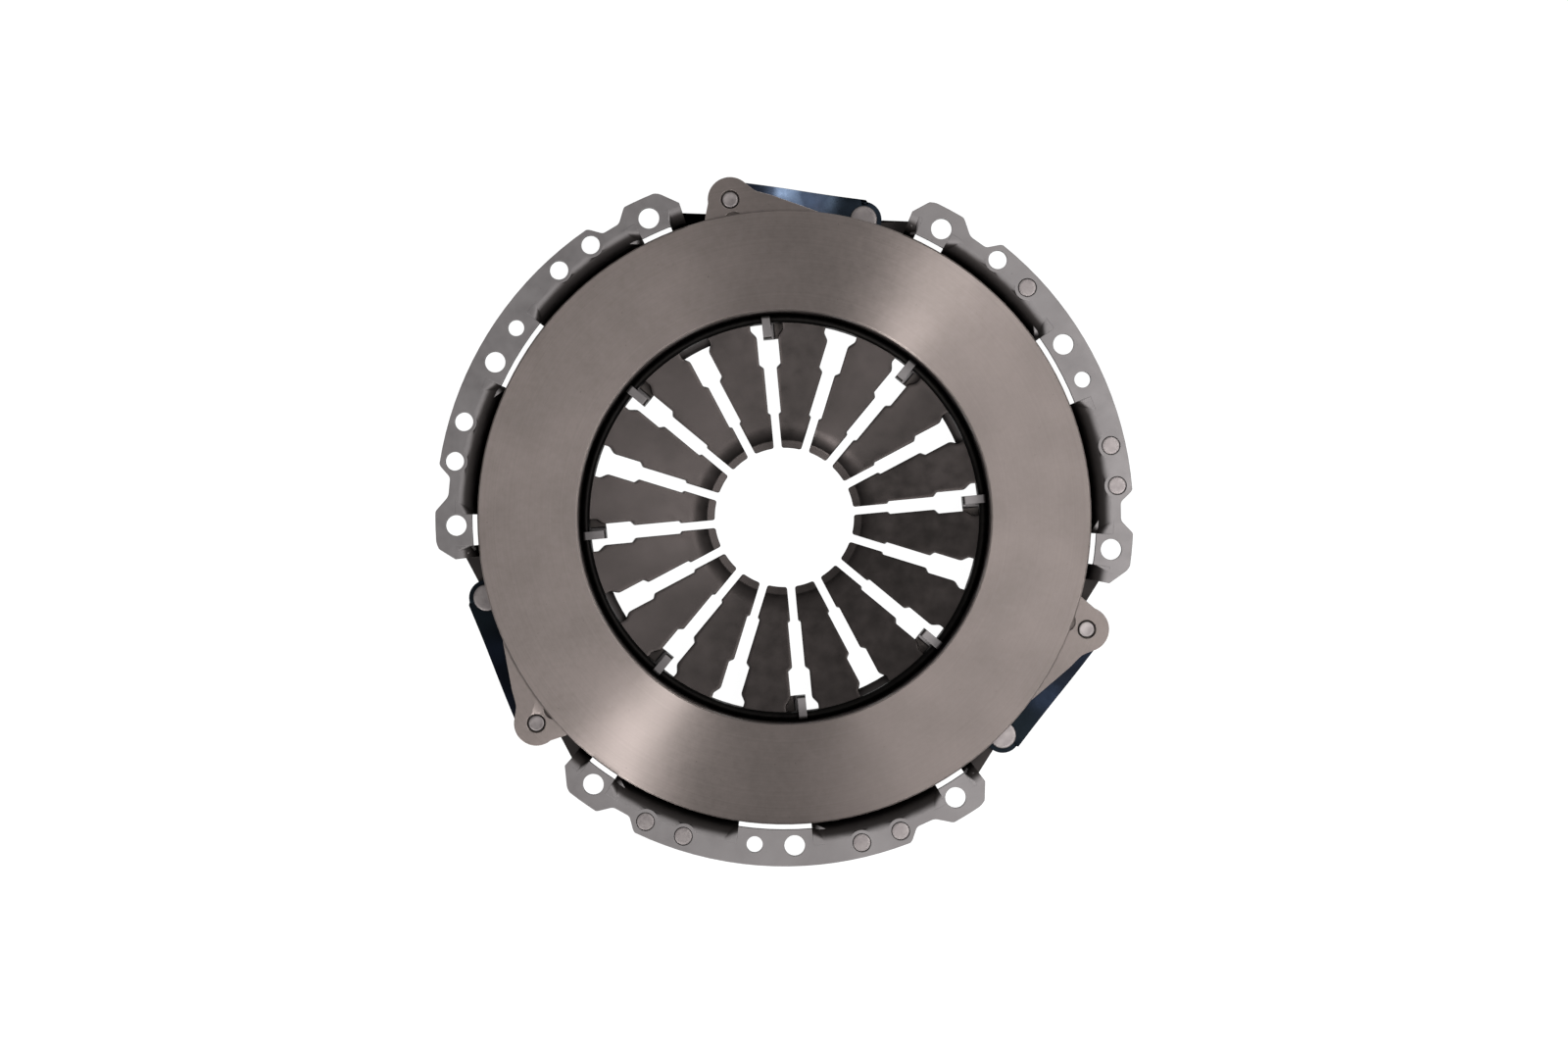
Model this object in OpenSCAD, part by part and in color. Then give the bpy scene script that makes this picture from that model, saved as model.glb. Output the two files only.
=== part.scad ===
// Clutch pressure plate of the diaphragm spring kind, for a 240 mm driven disc.
// Lengths are in millimetres and angles are in degrees, counter-clockwise from +X.
// The flange's mounting face lies at z = 0 and +Z points to the flywheel.
// It is drawn as it lies on a bench: nothing clamped, the plate pushed up by the spring.

/* [Cover] */
// Thickness of the cover's pressed sheet
sheet_t = 3.4; // [3:0.1:3.8]
// Outer radius of the mounting flange
flange_r = 138.3; // [132:0.1:144]
// Width of the flange, from its edge to the line of the wall's inner side
flange_w = 14.5; // [14:0.1:15.5]
// Depth of the notches in the flange's edge
notch_depth = 4.9; // [4:0.1:5.6]
// Angle from the segment's middle to where a notch's floor starts
notch_a0 = 25.3; // [25.1:0.1:25.6]
// Angle from the segment's middle to where a notch's floor ends
notch_a1 = 28.4; // [28.1:0.1:28.6]
// Angle that each sloped side of a notch takes up
notch_slope_a = 1.9; // [1.5:0.1:2]
// Angle from the segment's middle to the outer corner of its ear
ear_corner_a = 36.2; // [36:0.1:36.6]
// Lean of the wall towards the axis on its way down
wall_draft = 3; // [1:0.5:4]
// Inside radius of the bend between flange and wall
bend_r = 2.8; // [2.2:0.1:3]
// Inside radius of the bend between wall and floor
corner_r = 5; // [4:0.5:7]
// Depth of the floor's inner side below the mounting face
floor_depth = 31; // [30.5:0.5:35]
// Angle of the middle of the first flange segment
segment_a = 27.9; // [0:0.1:60]
// Half the angle of one flange segment
segment_half_a = 39.4; // [39:0.1:40]
// Distance of the cover's inner rim inside the circle that the spring tilts on
rim_in = 2.2; // [1.6:0.1:2.8]
// Length of the rim's four deeper lips
rim_lip_l = 2.9; // [1.4:0.1:3.2]
// Half the angle of a rim lip
rim_lip_half_a = 12; // [6:1:16]

/* [Flange holes] */
// Distance from the flange's edge to the circle that the bolt and dowel holes stand on
bolt_edge = 8.2; // [7.7:0.1:8.6]
// Diameter of a bolt hole
bolt_hole_d = 8.3; // [7:0.1:8.6]
// Diameter of a dowel hole
dowel_hole_d = 6.5; // [5:0.1:7]
// Angle from the segment's middle to the ear's bolt hole
ear_bolt_a = 33.5; // [33.2:0.1:33.8]
// Angle from the segment's middle to its middle bolt hole and, the other way, its dowel hole
middle_hole_a = 3.55; // [3.2:0.05:3.9]
// Distance from the flange's edge to the circle that the balance holes stand on
balance_edge = 5.8; // [5.3:0.1:6.3]
// Diameter of a balance hole
balance_hole_d = 7.4; // [6.6:0.1:7.6]
// Angle from the segment's middle to the nearer balance holes
balance_near_a = 15.5; // [14:0.5:16]
// Angle from the segment's middle to the farther balance holes
balance_far_a = 22.45; // [21.8:0.05:22.6]
// Radius of the flat land round a balance hole
land_r = 5.1; // [4.9:0.05:5.2]

/* [Wall windows] */
// Distance from the wall's line to the inner edge of the flat tongue over a window
tongue_set = 0.5; // [0.2:0.1:0.9]
// Distance from the wall's line to the sill that a window leaves in the floor
sill_in = 2.3; // [1.6:0.1:3]
// Half the angle of the window at an ear bolt
ear_window_half_a = 3; // [2.6:0.1:3.2]
// Half the angle of the window at the middle bolt and dowel
middle_window_half_a = 6.85; // [6.4:0.05:7.2]

/* [Hook tabs] */
// Angle of the first hook tab, which is also the middle of a spring slot
hook_a = 5.4; // [0:0.1:10]
// Width of a hook tab across its slot
hook_w = 3.3; // [2.6:0.1:3.8]
// Radial thickness of a hook's stem
hook_t = 6.3; // [5.6:0.1:7]
// Rounding of a hook's corners
hook_round = 1.2; // [0.8:0.1:1.3]
// Length of the nose beyond the middle of the wire
nose_over = 1.1; // [0.8:0.1:1.4]
// Thickness of the nose over the wire ring
nose_t = 2.6; // [2:0.1:3.2]
// Width of the fold at a hook's root
fold_w = 1.6; // [1:0.1:1.8]

/* [Pressure plate] */
// Gap between the plate's edge and the cover's wall at the top
plate_gap = 1.8; // [1.4:0.1:2.2]
// Width of the friction face, from its bore to its edge
face_w = 39.7; // [38:0.1:41]
// Depth of the friction face below the mounting face
face_drop = 3.5; // [3:0.1:4]
// Thickness of the plate from the friction face to the back of its core
plate_t = 16; // [15.5:0.25:17]
// Thickness of the plate's outer rim
rim_t = 12; // [10:0.5:13]
// Thickness of the plate where the straps pass under it
relief_t = 8; // [7.6:0.1:8.4]
// Gap between the thick core behind the friction face and the strap pockets' inner wall
core_gap = 1.5; // [1:0.25:3]
// Distance of the ridge that presses on the spring inside the spring's edge
ridge_in = 3; // [2.5:0.25:4]
// Height of the ridge above the core's back
ridge_h = 2; // [1.5:0.1:2.5]
// Radius of the ridge's rounded crest
ridge_crest_r = 3.5; // [3:0.1:4]
// Number of pieces that the ridge is broken into
ridge_count = 12; // [8:1:16]
// Edge chamfer of the friction face
face_chamfer = 0.6; // [0.3:0.1:1]
// Height of the cast bevel at the bore's back edge
bore_bevel = 6; // [5:0.5:8]

/* [Lugs] */
// Angle of the first lug's rivet
lug_a = 99.7; // [99.4:0.1:100]
// Distance of the lug rivets' circle outside the friction face
lug_out = 6.1; // [5.6:0.1:6.6]
// Radius of a lug's rounded tip
lug_tip_r = 8.9; // [8.4:0.1:9.2]
// Depth of the lug's face below the friction face
lug_step = 1; // [0.6:0.1:1.4]
// Thickness of a lug
lug_t = 7.5; // [7:0.1:8]

/* [Drive straps] */
// Angle of the first strap's rivet in the cover
strap_a = 75.1; // [74.8:0.1:75.4]
// Distance of the cover's strap rivets' circle outside the friction face
strap_out = 1.5; // [1:0.1:2]
// Width of a strap
strap_w = 15.8; // [14:0.2:16.4]
// Radius of the strap's end round its cover rivet
strap_end_r = 6.9; // [6.4:0.1:7.2]
// Thickness of one strap leaf
leaf_t = 0.8; // [0.6:0.05:0.9]
// Number of leaves that lie on each other in a strap
leaf_count = 3;
// Height that a strap climbs from the cover to the lug
strap_climb = 7; // [6.6:0.1:7.4]
// Length of the flat stretch of a strap from each rivet's centre
strap_flat = 9; // [7.5:0.5:10]

/* [Strap pockets] */
// Gap between a strap's edge at its cover rivet and the pocket's inner wall
pocket_gap = 4.2; // [3.4:0.1:4.6]
// Distance from the strap rivets' circle to the outer edge of the shelf that carries the straps
shelf_edge = 5.3; // [4.9:0.1:5.9]
// Inside radius of the pocket's bends
pocket_bend_r = 2.4; // [1.8:0.1:2.6]
// Diameter of the hole in the shelf below the lug rivet
access_hole_d = 14.6; // [13.6:0.2:15]

/* [Diaphragm spring] */
// Thickness of the spring
spring_t = 2.6; // [2.2:0.1:3]
// Gap between the spring's edge and the line of the strap pockets' inner wall
spring_room = 8; // [7:0.25:8.5]
// Distance of the circle that the spring tilts on inside the friction face's bore
pivot_in = 1.8; // [1.5:0.1:2.1]
// Slope of the relaxed cone
cone_a = 12.5; // [11.5:0.25:13]
// Number of fingers
finger_count = 16;
// Radius of the circle inside the finger tips
tip_r = 28.5; // [27:0.25:31]
// Width of a slot near the finger tips
slot_tip_w = 3.45; // [3:0.05:4]
// Width of a slot along its middle
slot_mid_w = 5.45; // [5:0.05:6]
// Width of a slot beside the hooks
slot_hook_w = 8.9; // [8.6:0.1:9.4]
// Width of a slot at its flared outer end
slot_flare_w = 12.8; // [11.5:0.1:13.5]

/* [Wire ring] */
// Diameter of the ring's wire
wire_d = 3.7; // [3.3:0.1:3.9]

/* [Rivets] */
// Shank diameter of a lug rivet
lug_shank_d = 6.6; // [6:0.1:6.8]
// Diameter of the sunk ring round a lug rivet's end
lug_sink_d = 7.6; // [7.2:0.1:8]
// Head diameter of a lug rivet
lug_head_d = 11.4; // [10:0.2:12]
// Head height of a lug rivet
lug_head_h = 3; // [2.4:0.1:3.4]
// Shank diameter of a strap rivet
strap_shank_d = 6.6; // [6:0.1:7]
// Diameter of a strap rivet's flat head
strap_head_d = 10.7; // [10:0.1:11]
// Height of a strap rivet's flat head
strap_head_h = 1.4; // [1:0.1:1.6]
// Diameter of a strap rivet's closed head
closed_head_d = 10.4; // [9.6:0.2:11]
// Height of a strap rivet's closed head
closed_head_h = 2.6; // [2:0.1:3.2]
// Head diameter of a balance rivet
balance_head_d = 9.4; // [8.8:0.1:9.6]
// Head height of a balance rivet
balance_head_h = 3; // [2:0.1:4]

/* [Clearances] */
// Gap between the spring and what it tilts on
spring_gap = 0.25; // [0.2:0.05:0.3]
// Gap between the wire ring and what holds it
ring_gap = 0.05; // [0.03:0.01:0.1]
// Gap between strap leaves
leaf_gap = 0.04; // [0.02:0.01:0.08]
// Gap round a rivet's shank
shank_gap = 0.1; // [0.05:0.05:0.2]
// Gap between a balance rivet's shank and its hole, which shows as a thin dark ring
balance_gap = 0.15; // [0.1:0.05:0.25]

/* [Hidden] */
$fa = 6;
$fs = 0.8;
segment_count = 3;
segment_step = 360 / segment_count;
hook_count = finger_count / 2;
slot_step = 360 / finger_count;
overlap = 0.6;
beyond = 4;
arc_step = 9;

// Radii, counted inwards from the flange's edge
edge_r = flange_r + overlap / 2;
notch_r = flange_r - notch_depth;
bolt_circle_r = flange_r - bolt_edge;
balance_circle_r = flange_r - balance_edge;
wall_r = flange_r - flange_w;
tongue_r = wall_r + tongue_set;
face_r = wall_r - plate_gap;
face_bore_r = face_r - face_w;
lug_rivet_r = face_r + lug_out;
strap_rivet_r = face_r + strap_out;
shelf_r = strap_rivet_r + shelf_edge;
pocket_r = strap_rivet_r - strap_w / 2 - pocket_gap - sheet_t;
core_r = pocket_r - core_gap;
spring_r = pocket_r - spring_room;
ridge_r = spring_r - ridge_in;
pivot_r = face_bore_r - pivot_in;
rim_r = pivot_r - rim_in;
rim_lip_r = rim_r - rim_lip_l;

// Filled balance holes, as segment number and angle from the segment's middle
balance_filled = [
    [0, balance_near_a], [0, -balance_near_a], [0, -balance_far_a],
    [2, balance_near_a], [2, -balance_near_a], [2, balance_far_a], [2, -balance_far_a]
];

// Levels, counted from the mounting face
face_z = -face_drop;
core_z = face_z - plate_t;
rim_z = face_z - rim_t;
relief_z = face_z - relief_t;
lug_z = face_z - lug_step;
lug_back_z = lug_z - lug_t;
leaf_pitch = leaf_t + leaf_gap;
pack_t = leaf_count * leaf_pitch;
shelf_z = lug_back_z - pack_t - strap_climb;
floor_z = -floor_depth;
floor_low_z = floor_z - sheet_t;

// Top surface of the spring's cone, tangent to the plate's ridge
ridge_z = core_z - ridge_h + ridge_crest_r;
function cone_top(r) =
    ridge_z + (r - ridge_r) * tan(cone_a) - (ridge_crest_r + spring_gap) / cos(cone_a);
pivot_top_z = cone_top(pivot_r);
cone_normal = [-sin(cone_a), cos(cone_a)];
pivot_top = [pivot_r, pivot_top_z];
pivot_low = pivot_top - spring_t * cone_normal;

// Wire ring, tangent to the spring's top
wire_r = wire_d / 2;
wire_centre = pivot_top + (wire_r + ring_gap) * cone_normal;
nose_z = wire_centre[1] + wire_r + ring_gap;
nose_r = wire_centre[0] + nose_over;
stem_r = wire_centre[0] - wire_r - ring_gap;
hook_r = stem_r - hook_t;

// Rounded bead of the cover's floor, tangent to the spring's underside
bead_crest_r = 12;
bead_foot_r = 3;
bead_centre = pivot_low - (bead_crest_r + ring_gap) * cone_normal;
bead_top_z = bead_centre[1] + bead_crest_r;
bead_a = acos(1 - (bead_top_z - floor_z) / (bead_crest_r + bead_foot_r));
bead_foot = [bead_centre[0] + (bead_crest_r + bead_foot_r) * sin(bead_a), floor_z + bead_foot_r];

// Bends of the wall
bend_centre = [wall_r + bend_r + sheet_t, -bend_r - sheet_t];
wall_top = bend_centre + (bend_r + sheet_t) * [-cos(wall_draft), sin(wall_draft)];
wall_foot_z = floor_z + corner_r - corner_r * sin(wall_draft);
wall_foot_r = wall_top[0] - (wall_top[1] - wall_foot_z) * tan(wall_draft);
corner_centre = [wall_foot_r - corner_r * cos(wall_draft), floor_z + corner_r];
wall_out = sheet_t * [cos(wall_draft), -sin(wall_draft)];

// Bends of the strap pockets
pocket_low = [pocket_r - pocket_bend_r, floor_z + pocket_bend_r];
pocket_high = [pocket_r + sheet_t + pocket_bend_r, shelf_z - sheet_t - pocket_bend_r];
floor_disc_r = pocket_low[0] - overlap;
pocket_a0 = segment_a + segment_half_a;
pocket_a1 = segment_a + segment_step - segment_half_a;

// Formed tip of a finger: down over one bend, then up round the curl that meets the bearing
tip_bend_r = 9.4;
tip_bend_a = 24;
tip_curl_r = 8.5;
tip_curl_a = 35;
tip_bend_span = (tip_bend_r + spring_t) * (sin(tip_bend_a) - sin(cone_a));
cone_end_r = tip_r + tip_bend_span + tip_curl_r * (sin(tip_bend_a) + sin(tip_curl_a));
tip_bend_normal = [-sin(tip_bend_a), cos(tip_bend_a)];
tip_bend_centre = [cone_end_r, cone_top(cone_end_r)] - (tip_bend_r + spring_t) * cone_normal;
tip_curl_centre = tip_bend_centre + (tip_bend_r + spring_t + tip_curl_r) * tip_bend_normal;

// Steps of a slot, as radii
slot_step_1 = [tip_r + 12.8, tip_r + 14.3];
slot_step_2 = [pivot_r - 20.8, pivot_r - 17.6];
slot_flare = [pivot_r - 6.3, pivot_r - 2.7];
slot_end_r = pivot_r + 0.9;

// Straps, from the cover's rivet to the lug's
lug_point = lug_rivet_r * [cos(lug_a), sin(lug_a)];
strap_point = strap_rivet_r * [cos(strap_a), sin(strap_a)];
strap_run = lug_point - strap_point;
strap_l = norm(strap_run);
strap_turn = atan2(strap_run[1], strap_run[0]);
strap_steps = 12;

// Colours
cover_colour = "#8a8583";
iron_colour = "#867d79";
spring_colour = "#45403f";
blue_colour = "#33435c";
rivet_colour = "#77716e";

// A point at radius r and angle a
function polar(r, a) = [r * cos(a), r * sin(a)];

// Points of the arc that rounds corner b, between its neighbours a and c
function corner_arc(a, b, c, r) =
    let (
        u = (a - b) / norm(a - b),
        v = (c - b) / norm(c - b),
        half = acos(u * v) / 2,
        back = r / tan(half),
        centre = b + (u + v) / norm(u + v) * r / sin(half),
        from = b + u * back - centre,
        to = b + v * back - centre,
        side = sign(from[0] * to[1] - from[1] * to[0]),
        sweep = side * (180 - 2 * half),
        steps = max(2, ceil(abs(sweep) / 15))
    )
    [
        for (i = [0:steps])
            let (t = sweep * i / steps)
            centre + [from[0] * cos(t) - from[1] * sin(t), from[0] * sin(t) + from[1] * cos(t)]
    ];

// An outline from corners written as [point, rounding radius]
function rounded(corners) =
    let (n = len(corners))
    [
        for (i = [0:n - 1])
            let (here = corners[i])
            each here[1] <= 0
                ? [here[0]]
                : corner_arc(corners[(i + n - 1) % n][0], here[0], corners[(i + 1) % n][0], here[1])
    ];

// Points along an arc from angle a0 to a1
function arc(centre, r, a0, a1) =
    let (steps = max(1, ceil(abs(a1 - a0) / arc_step)))
    [for (i = [0:steps]) centre + polar(r, a0 + (a1 - a0) * i / steps)];

// The same arc without its first point, to carry on from where another ends
function arc_on(centre, r, a0, a1) =
    let (points = arc(centre, r, a0, a1))
    [for (i = [1:len(points) - 1]) points[i]];

function reversed(list) = [for (i = [len(list) - 1:-1:0]) list[i]];

// Copies on the three segments
module each_segment() {
    for (i = [0:segment_count - 1])
        rotate(i * segment_step)
            children();
}

// Spherical cap with its flat side at z = 0
module cap(r, h) {
    ball = (r * r + h * h) / (2 * h);
    rotate_extrude()
        intersection() {
            translate([0, h - ball])
                circle(ball);
            square([r, h]);
        }
}

// One face of the flange, wall, floor, bead and rim, at depth d in the sheet
function cover_face(d) =
    let (rim_a = asin((bead_centre[0] - rim_lip_r) / bead_crest_r))
    concat(
        [[flange_r + beyond, -d]],
        arc(bend_centre, bend_r + sheet_t - d, 90, 180 - wall_draft),
        arc(corner_centre, corner_r + d, 360 - wall_draft, 270),
        arc(bead_foot, bead_foot_r + d, 270, 270 - bead_a),
        arc_on(bead_centre, bead_crest_r - d, 90 - bead_a, 90 + rim_a)
    );

// One face of the shelf and inner wall of a strap pocket, at depth d in the sheet
function pocket_face(d) = concat(
    [[shelf_r, shelf_z - d]],
    arc(pocket_high, pocket_bend_r + sheet_t - d, 90, 180),
    arc(pocket_low, pocket_bend_r + d, 360, 270),
    [[floor_disc_r - overlap, floor_z - d]]
);

// Section of the side wall that closes a strap pocket, inside the sheet that it joins
module pocket_side_section() {
    skin = sheet_t / 2;
    side_top = wall_top + (wall_top[1] - shelf_z) * [-tan(wall_draft), -1];
    polygon(concat(
        [[pocket_r + skin, shelf_z - 0.1]],
        [side_top + wall_out / 2],
        arc(corner_centre, corner_r + skin, 360 - wall_draft, 270),
        [[pocket_r + skin, floor_low_z + skin]]
    ));
}

// Corners of half a flange segment, from its middle to the sloped end of its ear, with their rounding
function segment_side(s) = [
    [polar(edge_r, s * (notch_a0 - notch_slope_a - 6)), 0],
    [polar(edge_r, s * (notch_a0 - notch_slope_a)), 3.5],
    [polar(notch_r, s * notch_a0), 2.5],
    [polar(notch_r, s * notch_a1), 2.5],
    [polar(edge_r, s * (notch_a1 + notch_slope_a)), 2.5],
    [polar(edge_r, s * ear_corner_a), 6],
    [polar(bolt_circle_r, s * (ear_corner_a + 3.8)), 4],
    [polar(wall_r + sheet_t, s * (segment_half_a + 1)), 0]
];

// One flange segment about angle 0, seen from above
module segment_outline() {
    wedge_r = 1.5 * flange_r;
    intersection() {
        circle(flange_r);
        polygon(rounded(concat(
            [[[0, 0], 0]],
            reversed(segment_side(-1)),
            [for (a = [-10:4:10]) [polar(edge_r, a), 0]],
            segment_side(1)
        )));
        polygon([[0, 0], polar(wedge_r, -segment_half_a), polar(wedge_r, segment_half_a)]);
    }
}

// The pressed sheet seen from above: three segments that share one floor
module cover_outline() {
    circle(floor_disc_r);
    rotate(segment_a)
        each_segment()
            segment_outline();
}

// Space taken out of the wall below one flat tongue of the flange
module window_cut(middle_a, half_a) {
    low_z = floor_low_z - 1;
    sill_r = wall_r - sill_in;
    rotate_extrude(start = middle_a - half_a, angle = 2 * half_a)
        polygon([
            [sill_r, low_z],
            [bend_centre[0] + bend_r, low_z],
            [bend_centre[0] + bend_r, -sheet_t],
            [tongue_r, -sheet_t],
            [tongue_r, 1],
            [sill_r, 1]
        ]);
}

// Flat tongue of the flange over a window, which runs on into the flange beyond the bolt holes
module tongue(middle_a, half_a) {
    tongue_end_r = bolt_circle_r + bolt_hole_d / 2 + overlap;
    rotate_extrude(start = middle_a - half_a, angle = 2 * half_a)
        translate([tongue_r, -sheet_t])
            square([tongue_end_r - tongue_r, sheet_t]);
}

module flange_hole(r, a, d) {
    translate([each polar(r, a), -sheet_t - beyond])
        cylinder(d = d, h = sheet_t + 2 * beyond, $fn = 48);
}

// The pressed sheet with its windows, flat lands, holes and rim, still without pockets and hooks
module pressed_sheet() {
    balance_angles = [-balance_far_a, -balance_near_a, balance_near_a, balance_far_a];
    difference() {
        union() {
            difference() {
                intersection() {
                    rotate_extrude($fn = 120)
                        polygon(concat(cover_face(0), reversed(cover_face(sheet_t))));
                    translate([0, 0, floor_low_z - 1])
                        linear_extrude(height = floor_depth + sheet_t + 2)
                            cover_outline();
                }
                rim_openings();
                rotate(segment_a)
                    each_segment() {
                        for (s = [-1, 1])
                            window_cut(s * ear_bolt_a, ear_window_half_a);
                        window_cut(0, middle_window_half_a);
                        for (a = balance_angles)
                            translate([each polar(balance_circle_r, a), -sheet_t - bend_r])
                                cylinder(r = land_r, h = bend_r, $fn = 48);
                    }
            }
            rotate(segment_a)
                each_segment() {
                    for (s = [-1, 1])
                        tongue(s * ear_bolt_a, ear_window_half_a);
                    tongue(0, middle_window_half_a);
                    for (a = balance_angles)
                        translate([each polar(balance_circle_r, a), -sheet_t])
                            cylinder(r = land_r, h = sheet_t, $fn = 48);
                }
        }
        rotate(segment_a)
            each_segment() {
                for (a = [-ear_bolt_a, middle_hole_a, ear_bolt_a])
                    flange_hole(bolt_circle_r, a, bolt_hole_d);
                flange_hole(bolt_circle_r, -middle_hole_a, dowel_hole_d);
                for (a = balance_angles)
                    flange_hole(balance_circle_r, a, balance_hole_d);
            }
    }
}

// One strap pocket, in its place beside the first segment
module pocket() {
    side_a = asin(sheet_t / shelf_r);
    joint_a = 0.3;
    difference() {
        union() {
            rotate_extrude(start = pocket_a0 - joint_a, angle = pocket_a1 - pocket_a0 + 2 * joint_a)
                polygon(concat(pocket_face(0), reversed(pocket_face(sheet_t))));
            for (a = [pocket_a0 - side_a, pocket_a1 - joint_a / 2])
                rotate_extrude(start = a, angle = side_a + joint_a / 2)
                    pocket_side_section();
        }
        translate([each strap_point, shelf_z - sheet_t - beyond])
            cylinder(d = strap_shank_d + 2 * shank_gap, h = sheet_t + 2 * beyond, $fn = 48);
        translate([each lug_point, shelf_z - sheet_t - beyond])
            cylinder(d = access_hole_d, h = sheet_t + 2 * beyond, $fn = 48);
    }
}

// One hook tab at angle 0: foot on the rim, stem through the slot, nose over the wire ring
module hook() {
    foot_z = bead_top_z - sheet_t - fold_w / 2;
    top_z = nose_z + nose_t;
    rotate([90, 0, 0])
        translate([0, 0, -hook_w / 2])
            linear_extrude(height = hook_w)
                difference() {
                    union() {
                        translate([hook_r, foot_z])
                            square([hook_t, top_z - hook_round - foot_z]);
                        translate([hook_r + hook_round, foot_z])
                            square([nose_r - hook_r - 2 * hook_round, top_z - foot_z]);
                        for (r = [hook_r + hook_round, nose_r - hook_round])
                            translate([r, top_z - hook_round])
                                circle(hook_round, $fn = 32);
                        translate([hook_r + hook_round, nose_z])
                            square([nose_r - hook_r - hook_round, nose_t - hook_round]);
                    }
                    translate(wire_centre)
                        circle(wire_r + ring_gap, $fn = 48);
                    translate([stem_r + overlap, foot_z - 1])
                        square([nose_r, wire_centre[1] - foot_z + 1]);
                    translate([wire_centre[0], foot_z - 1])
                        square([nose_r, nose_z - foot_z + 1]);
                }
    // Foot that carries the tab inwards from the rim
    rotate([90, 0, 0])
        translate([0, 0, -hook_w / 2])
            linear_extrude(height = hook_w)
                intersection() {
                    translate([hook_r, foot_z])
                        square([rim_r + sheet_t / 2 - hook_r, bead_top_z - overlap - foot_z]);
                    translate(bead_centre)
                        circle(bead_crest_r);
                }
    // Fold beside the stem
    translate([hook_r, -hook_w / 2, foot_z + fold_w])
        rotate([0, 90, 0])
            cylinder(r = fold_w, h = rim_r - hook_r, $fn = 32);
}

module cover() {
    color(cover_colour)
        union() {
            pressed_sheet();
            each_segment()
                pocket();
            for (i = [0:hook_count - 1])
                rotate(hook_a + i * 360 / hook_count)
                    hook();
        }
}

// What is cut from the rim between its four lips
module rim_openings() {
    lip_half = rim_lip_half_a;
    for (i = [0:3])
        rotate(segment_a + i * 90)
            rotate_extrude(start = lip_half, angle = 90 - 2 * lip_half)
                translate([rim_lip_r - beyond, floor_low_z - beyond])
                    square([rim_r - rim_lip_r + beyond, floor_depth]);
}

// Section of the plate's ring
module plate_section() {
    polygon([
        [face_bore_r + face_chamfer, face_z],
        [face_r - face_chamfer, face_z],
        [face_r, face_z - face_chamfer],
        [face_r, rim_z + 1],
        [face_r - 1, rim_z],
        [core_r + 1, rim_z],
        [core_r, rim_z - 1],
        [core_r, core_z + 1],
        [core_r - 1, core_z],
        [face_bore_r + bore_bevel * 0.6, core_z],
        [face_bore_r, core_z + bore_bevel],
        [face_bore_r, face_z - face_chamfer]
    ]);
}

// Broken ridge on the plate's back that presses on the spring
module ridge() {
    gap_a = 7;
    step = 360 / ridge_count;
    for (i = [0:ridge_count - 1])
        rotate(i * step)
            rotate_extrude(start = gap_a / 2, angle = step - gap_a)
                translate([ridge_r, 0])
                    intersection() {
                        union() {
                            translate([0, ridge_z])
                                circle(ridge_crest_r);
                            translate([-ridge_crest_r, ridge_z])
                                square([2 * ridge_crest_r, core_z + overlap - ridge_z + ridge_crest_r]);
                        }
                        translate([-ridge_crest_r, ridge_z - ridge_crest_r])
                            square([2 * ridge_crest_r, core_z + overlap - ridge_z + ridge_crest_r]);
                    }
}

// Lug outline about its rivet, with +X outwards and +Y counter-clockwise
module lug_outline() {
    circle(lug_tip_r, $fn = 64);
    polygon(rounded([
        [[0, lug_tip_r], 0],
        [[lug_tip_r * 0.74, -lug_tip_r * 0.67], 0],
        [[1.7, -10.4], 5],
        [[-1.1, -16.6], 12],
        [[face_r - lug_rivet_r - 4.5, -33.6], 0],
        [[face_r - lug_rivet_r - 12, -30], 0],
        [[face_r - lug_rivet_r - 8, 11.6], 0],
        [[face_r - lug_rivet_r, 11.2], 0]
    ]));
}

// One lug with its rivet hole, at the first lug's place
module lug() {
    relief_r = 4.1;
    difference() {
        translate([0, 0, lug_back_z])
            rotate(lug_a)
                translate([lug_rivet_r, 0])
                    linear_extrude(height = lug_t)
                        lug_outline();
        translate([each polar(face_r - relief_r + 1.2, lug_a), lug_z - 1.6])
            cylinder(r = relief_r, h = beyond, $fn = 48);
    }
}

module pressure_plate() {
    color(iron_colour)
        difference() {
            union() {
                difference() {
                    rotate_extrude($fn = 180)
                        plate_section();
                    each_segment()
                        rotate_extrude(start = pocket_a0 - 1, angle = pocket_a1 - pocket_a0 + 2)
                            translate([core_r, rim_z - beyond])
                                square([face_r - core_r + beyond, relief_z - rim_z + beyond]);
                }
                each_segment()
                    lug();
                ridge();
            }
            each_segment() {
                translate([each lug_point, lug_back_z - beyond])
                    cylinder(d = lug_shank_d + 2 * shank_gap, h = lug_t + 2 * beyond, $fn = 48);
                translate([each lug_point, lug_z - 1.4])
                    cylinder(d = lug_sink_d, h = beyond, $fn = 48);
            }
        }
}

// One face of the cone and a finger's formed tip, at depth d in the spring
function spring_face(d) = concat(
    [[spring_r, cone_top(spring_r)] - d * cone_normal],
    arc(tip_bend_centre, tip_bend_r + spring_t - d, 90 + cone_a, 90 + tip_bend_a),
    arc_on(tip_curl_centre, tip_curl_r + d, 270 + tip_bend_a, 270 - tip_curl_a)
);

// Outline of one slot along +X, narrow at the finger tips and flared beside the wire ring
module slot_outline() {
    half = [
        [tip_r - beyond, slot_tip_w],
        [slot_step_1[0], slot_tip_w],
        [slot_step_1[1], slot_mid_w],
        [slot_step_2[0], slot_mid_w],
        [slot_step_2[1], slot_hook_w],
        [slot_flare[0], slot_hook_w],
        [slot_flare[1], slot_flare_w],
        [slot_end_r - 1, slot_flare_w],
        [slot_end_r, slot_flare_w - 2.4]
    ];
    polygon(concat(
        [for (p = half) [p[0], p[1] / 2]],
        [for (p = reversed(half)) [p[0], -p[1] / 2]]
    ));
}

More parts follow.
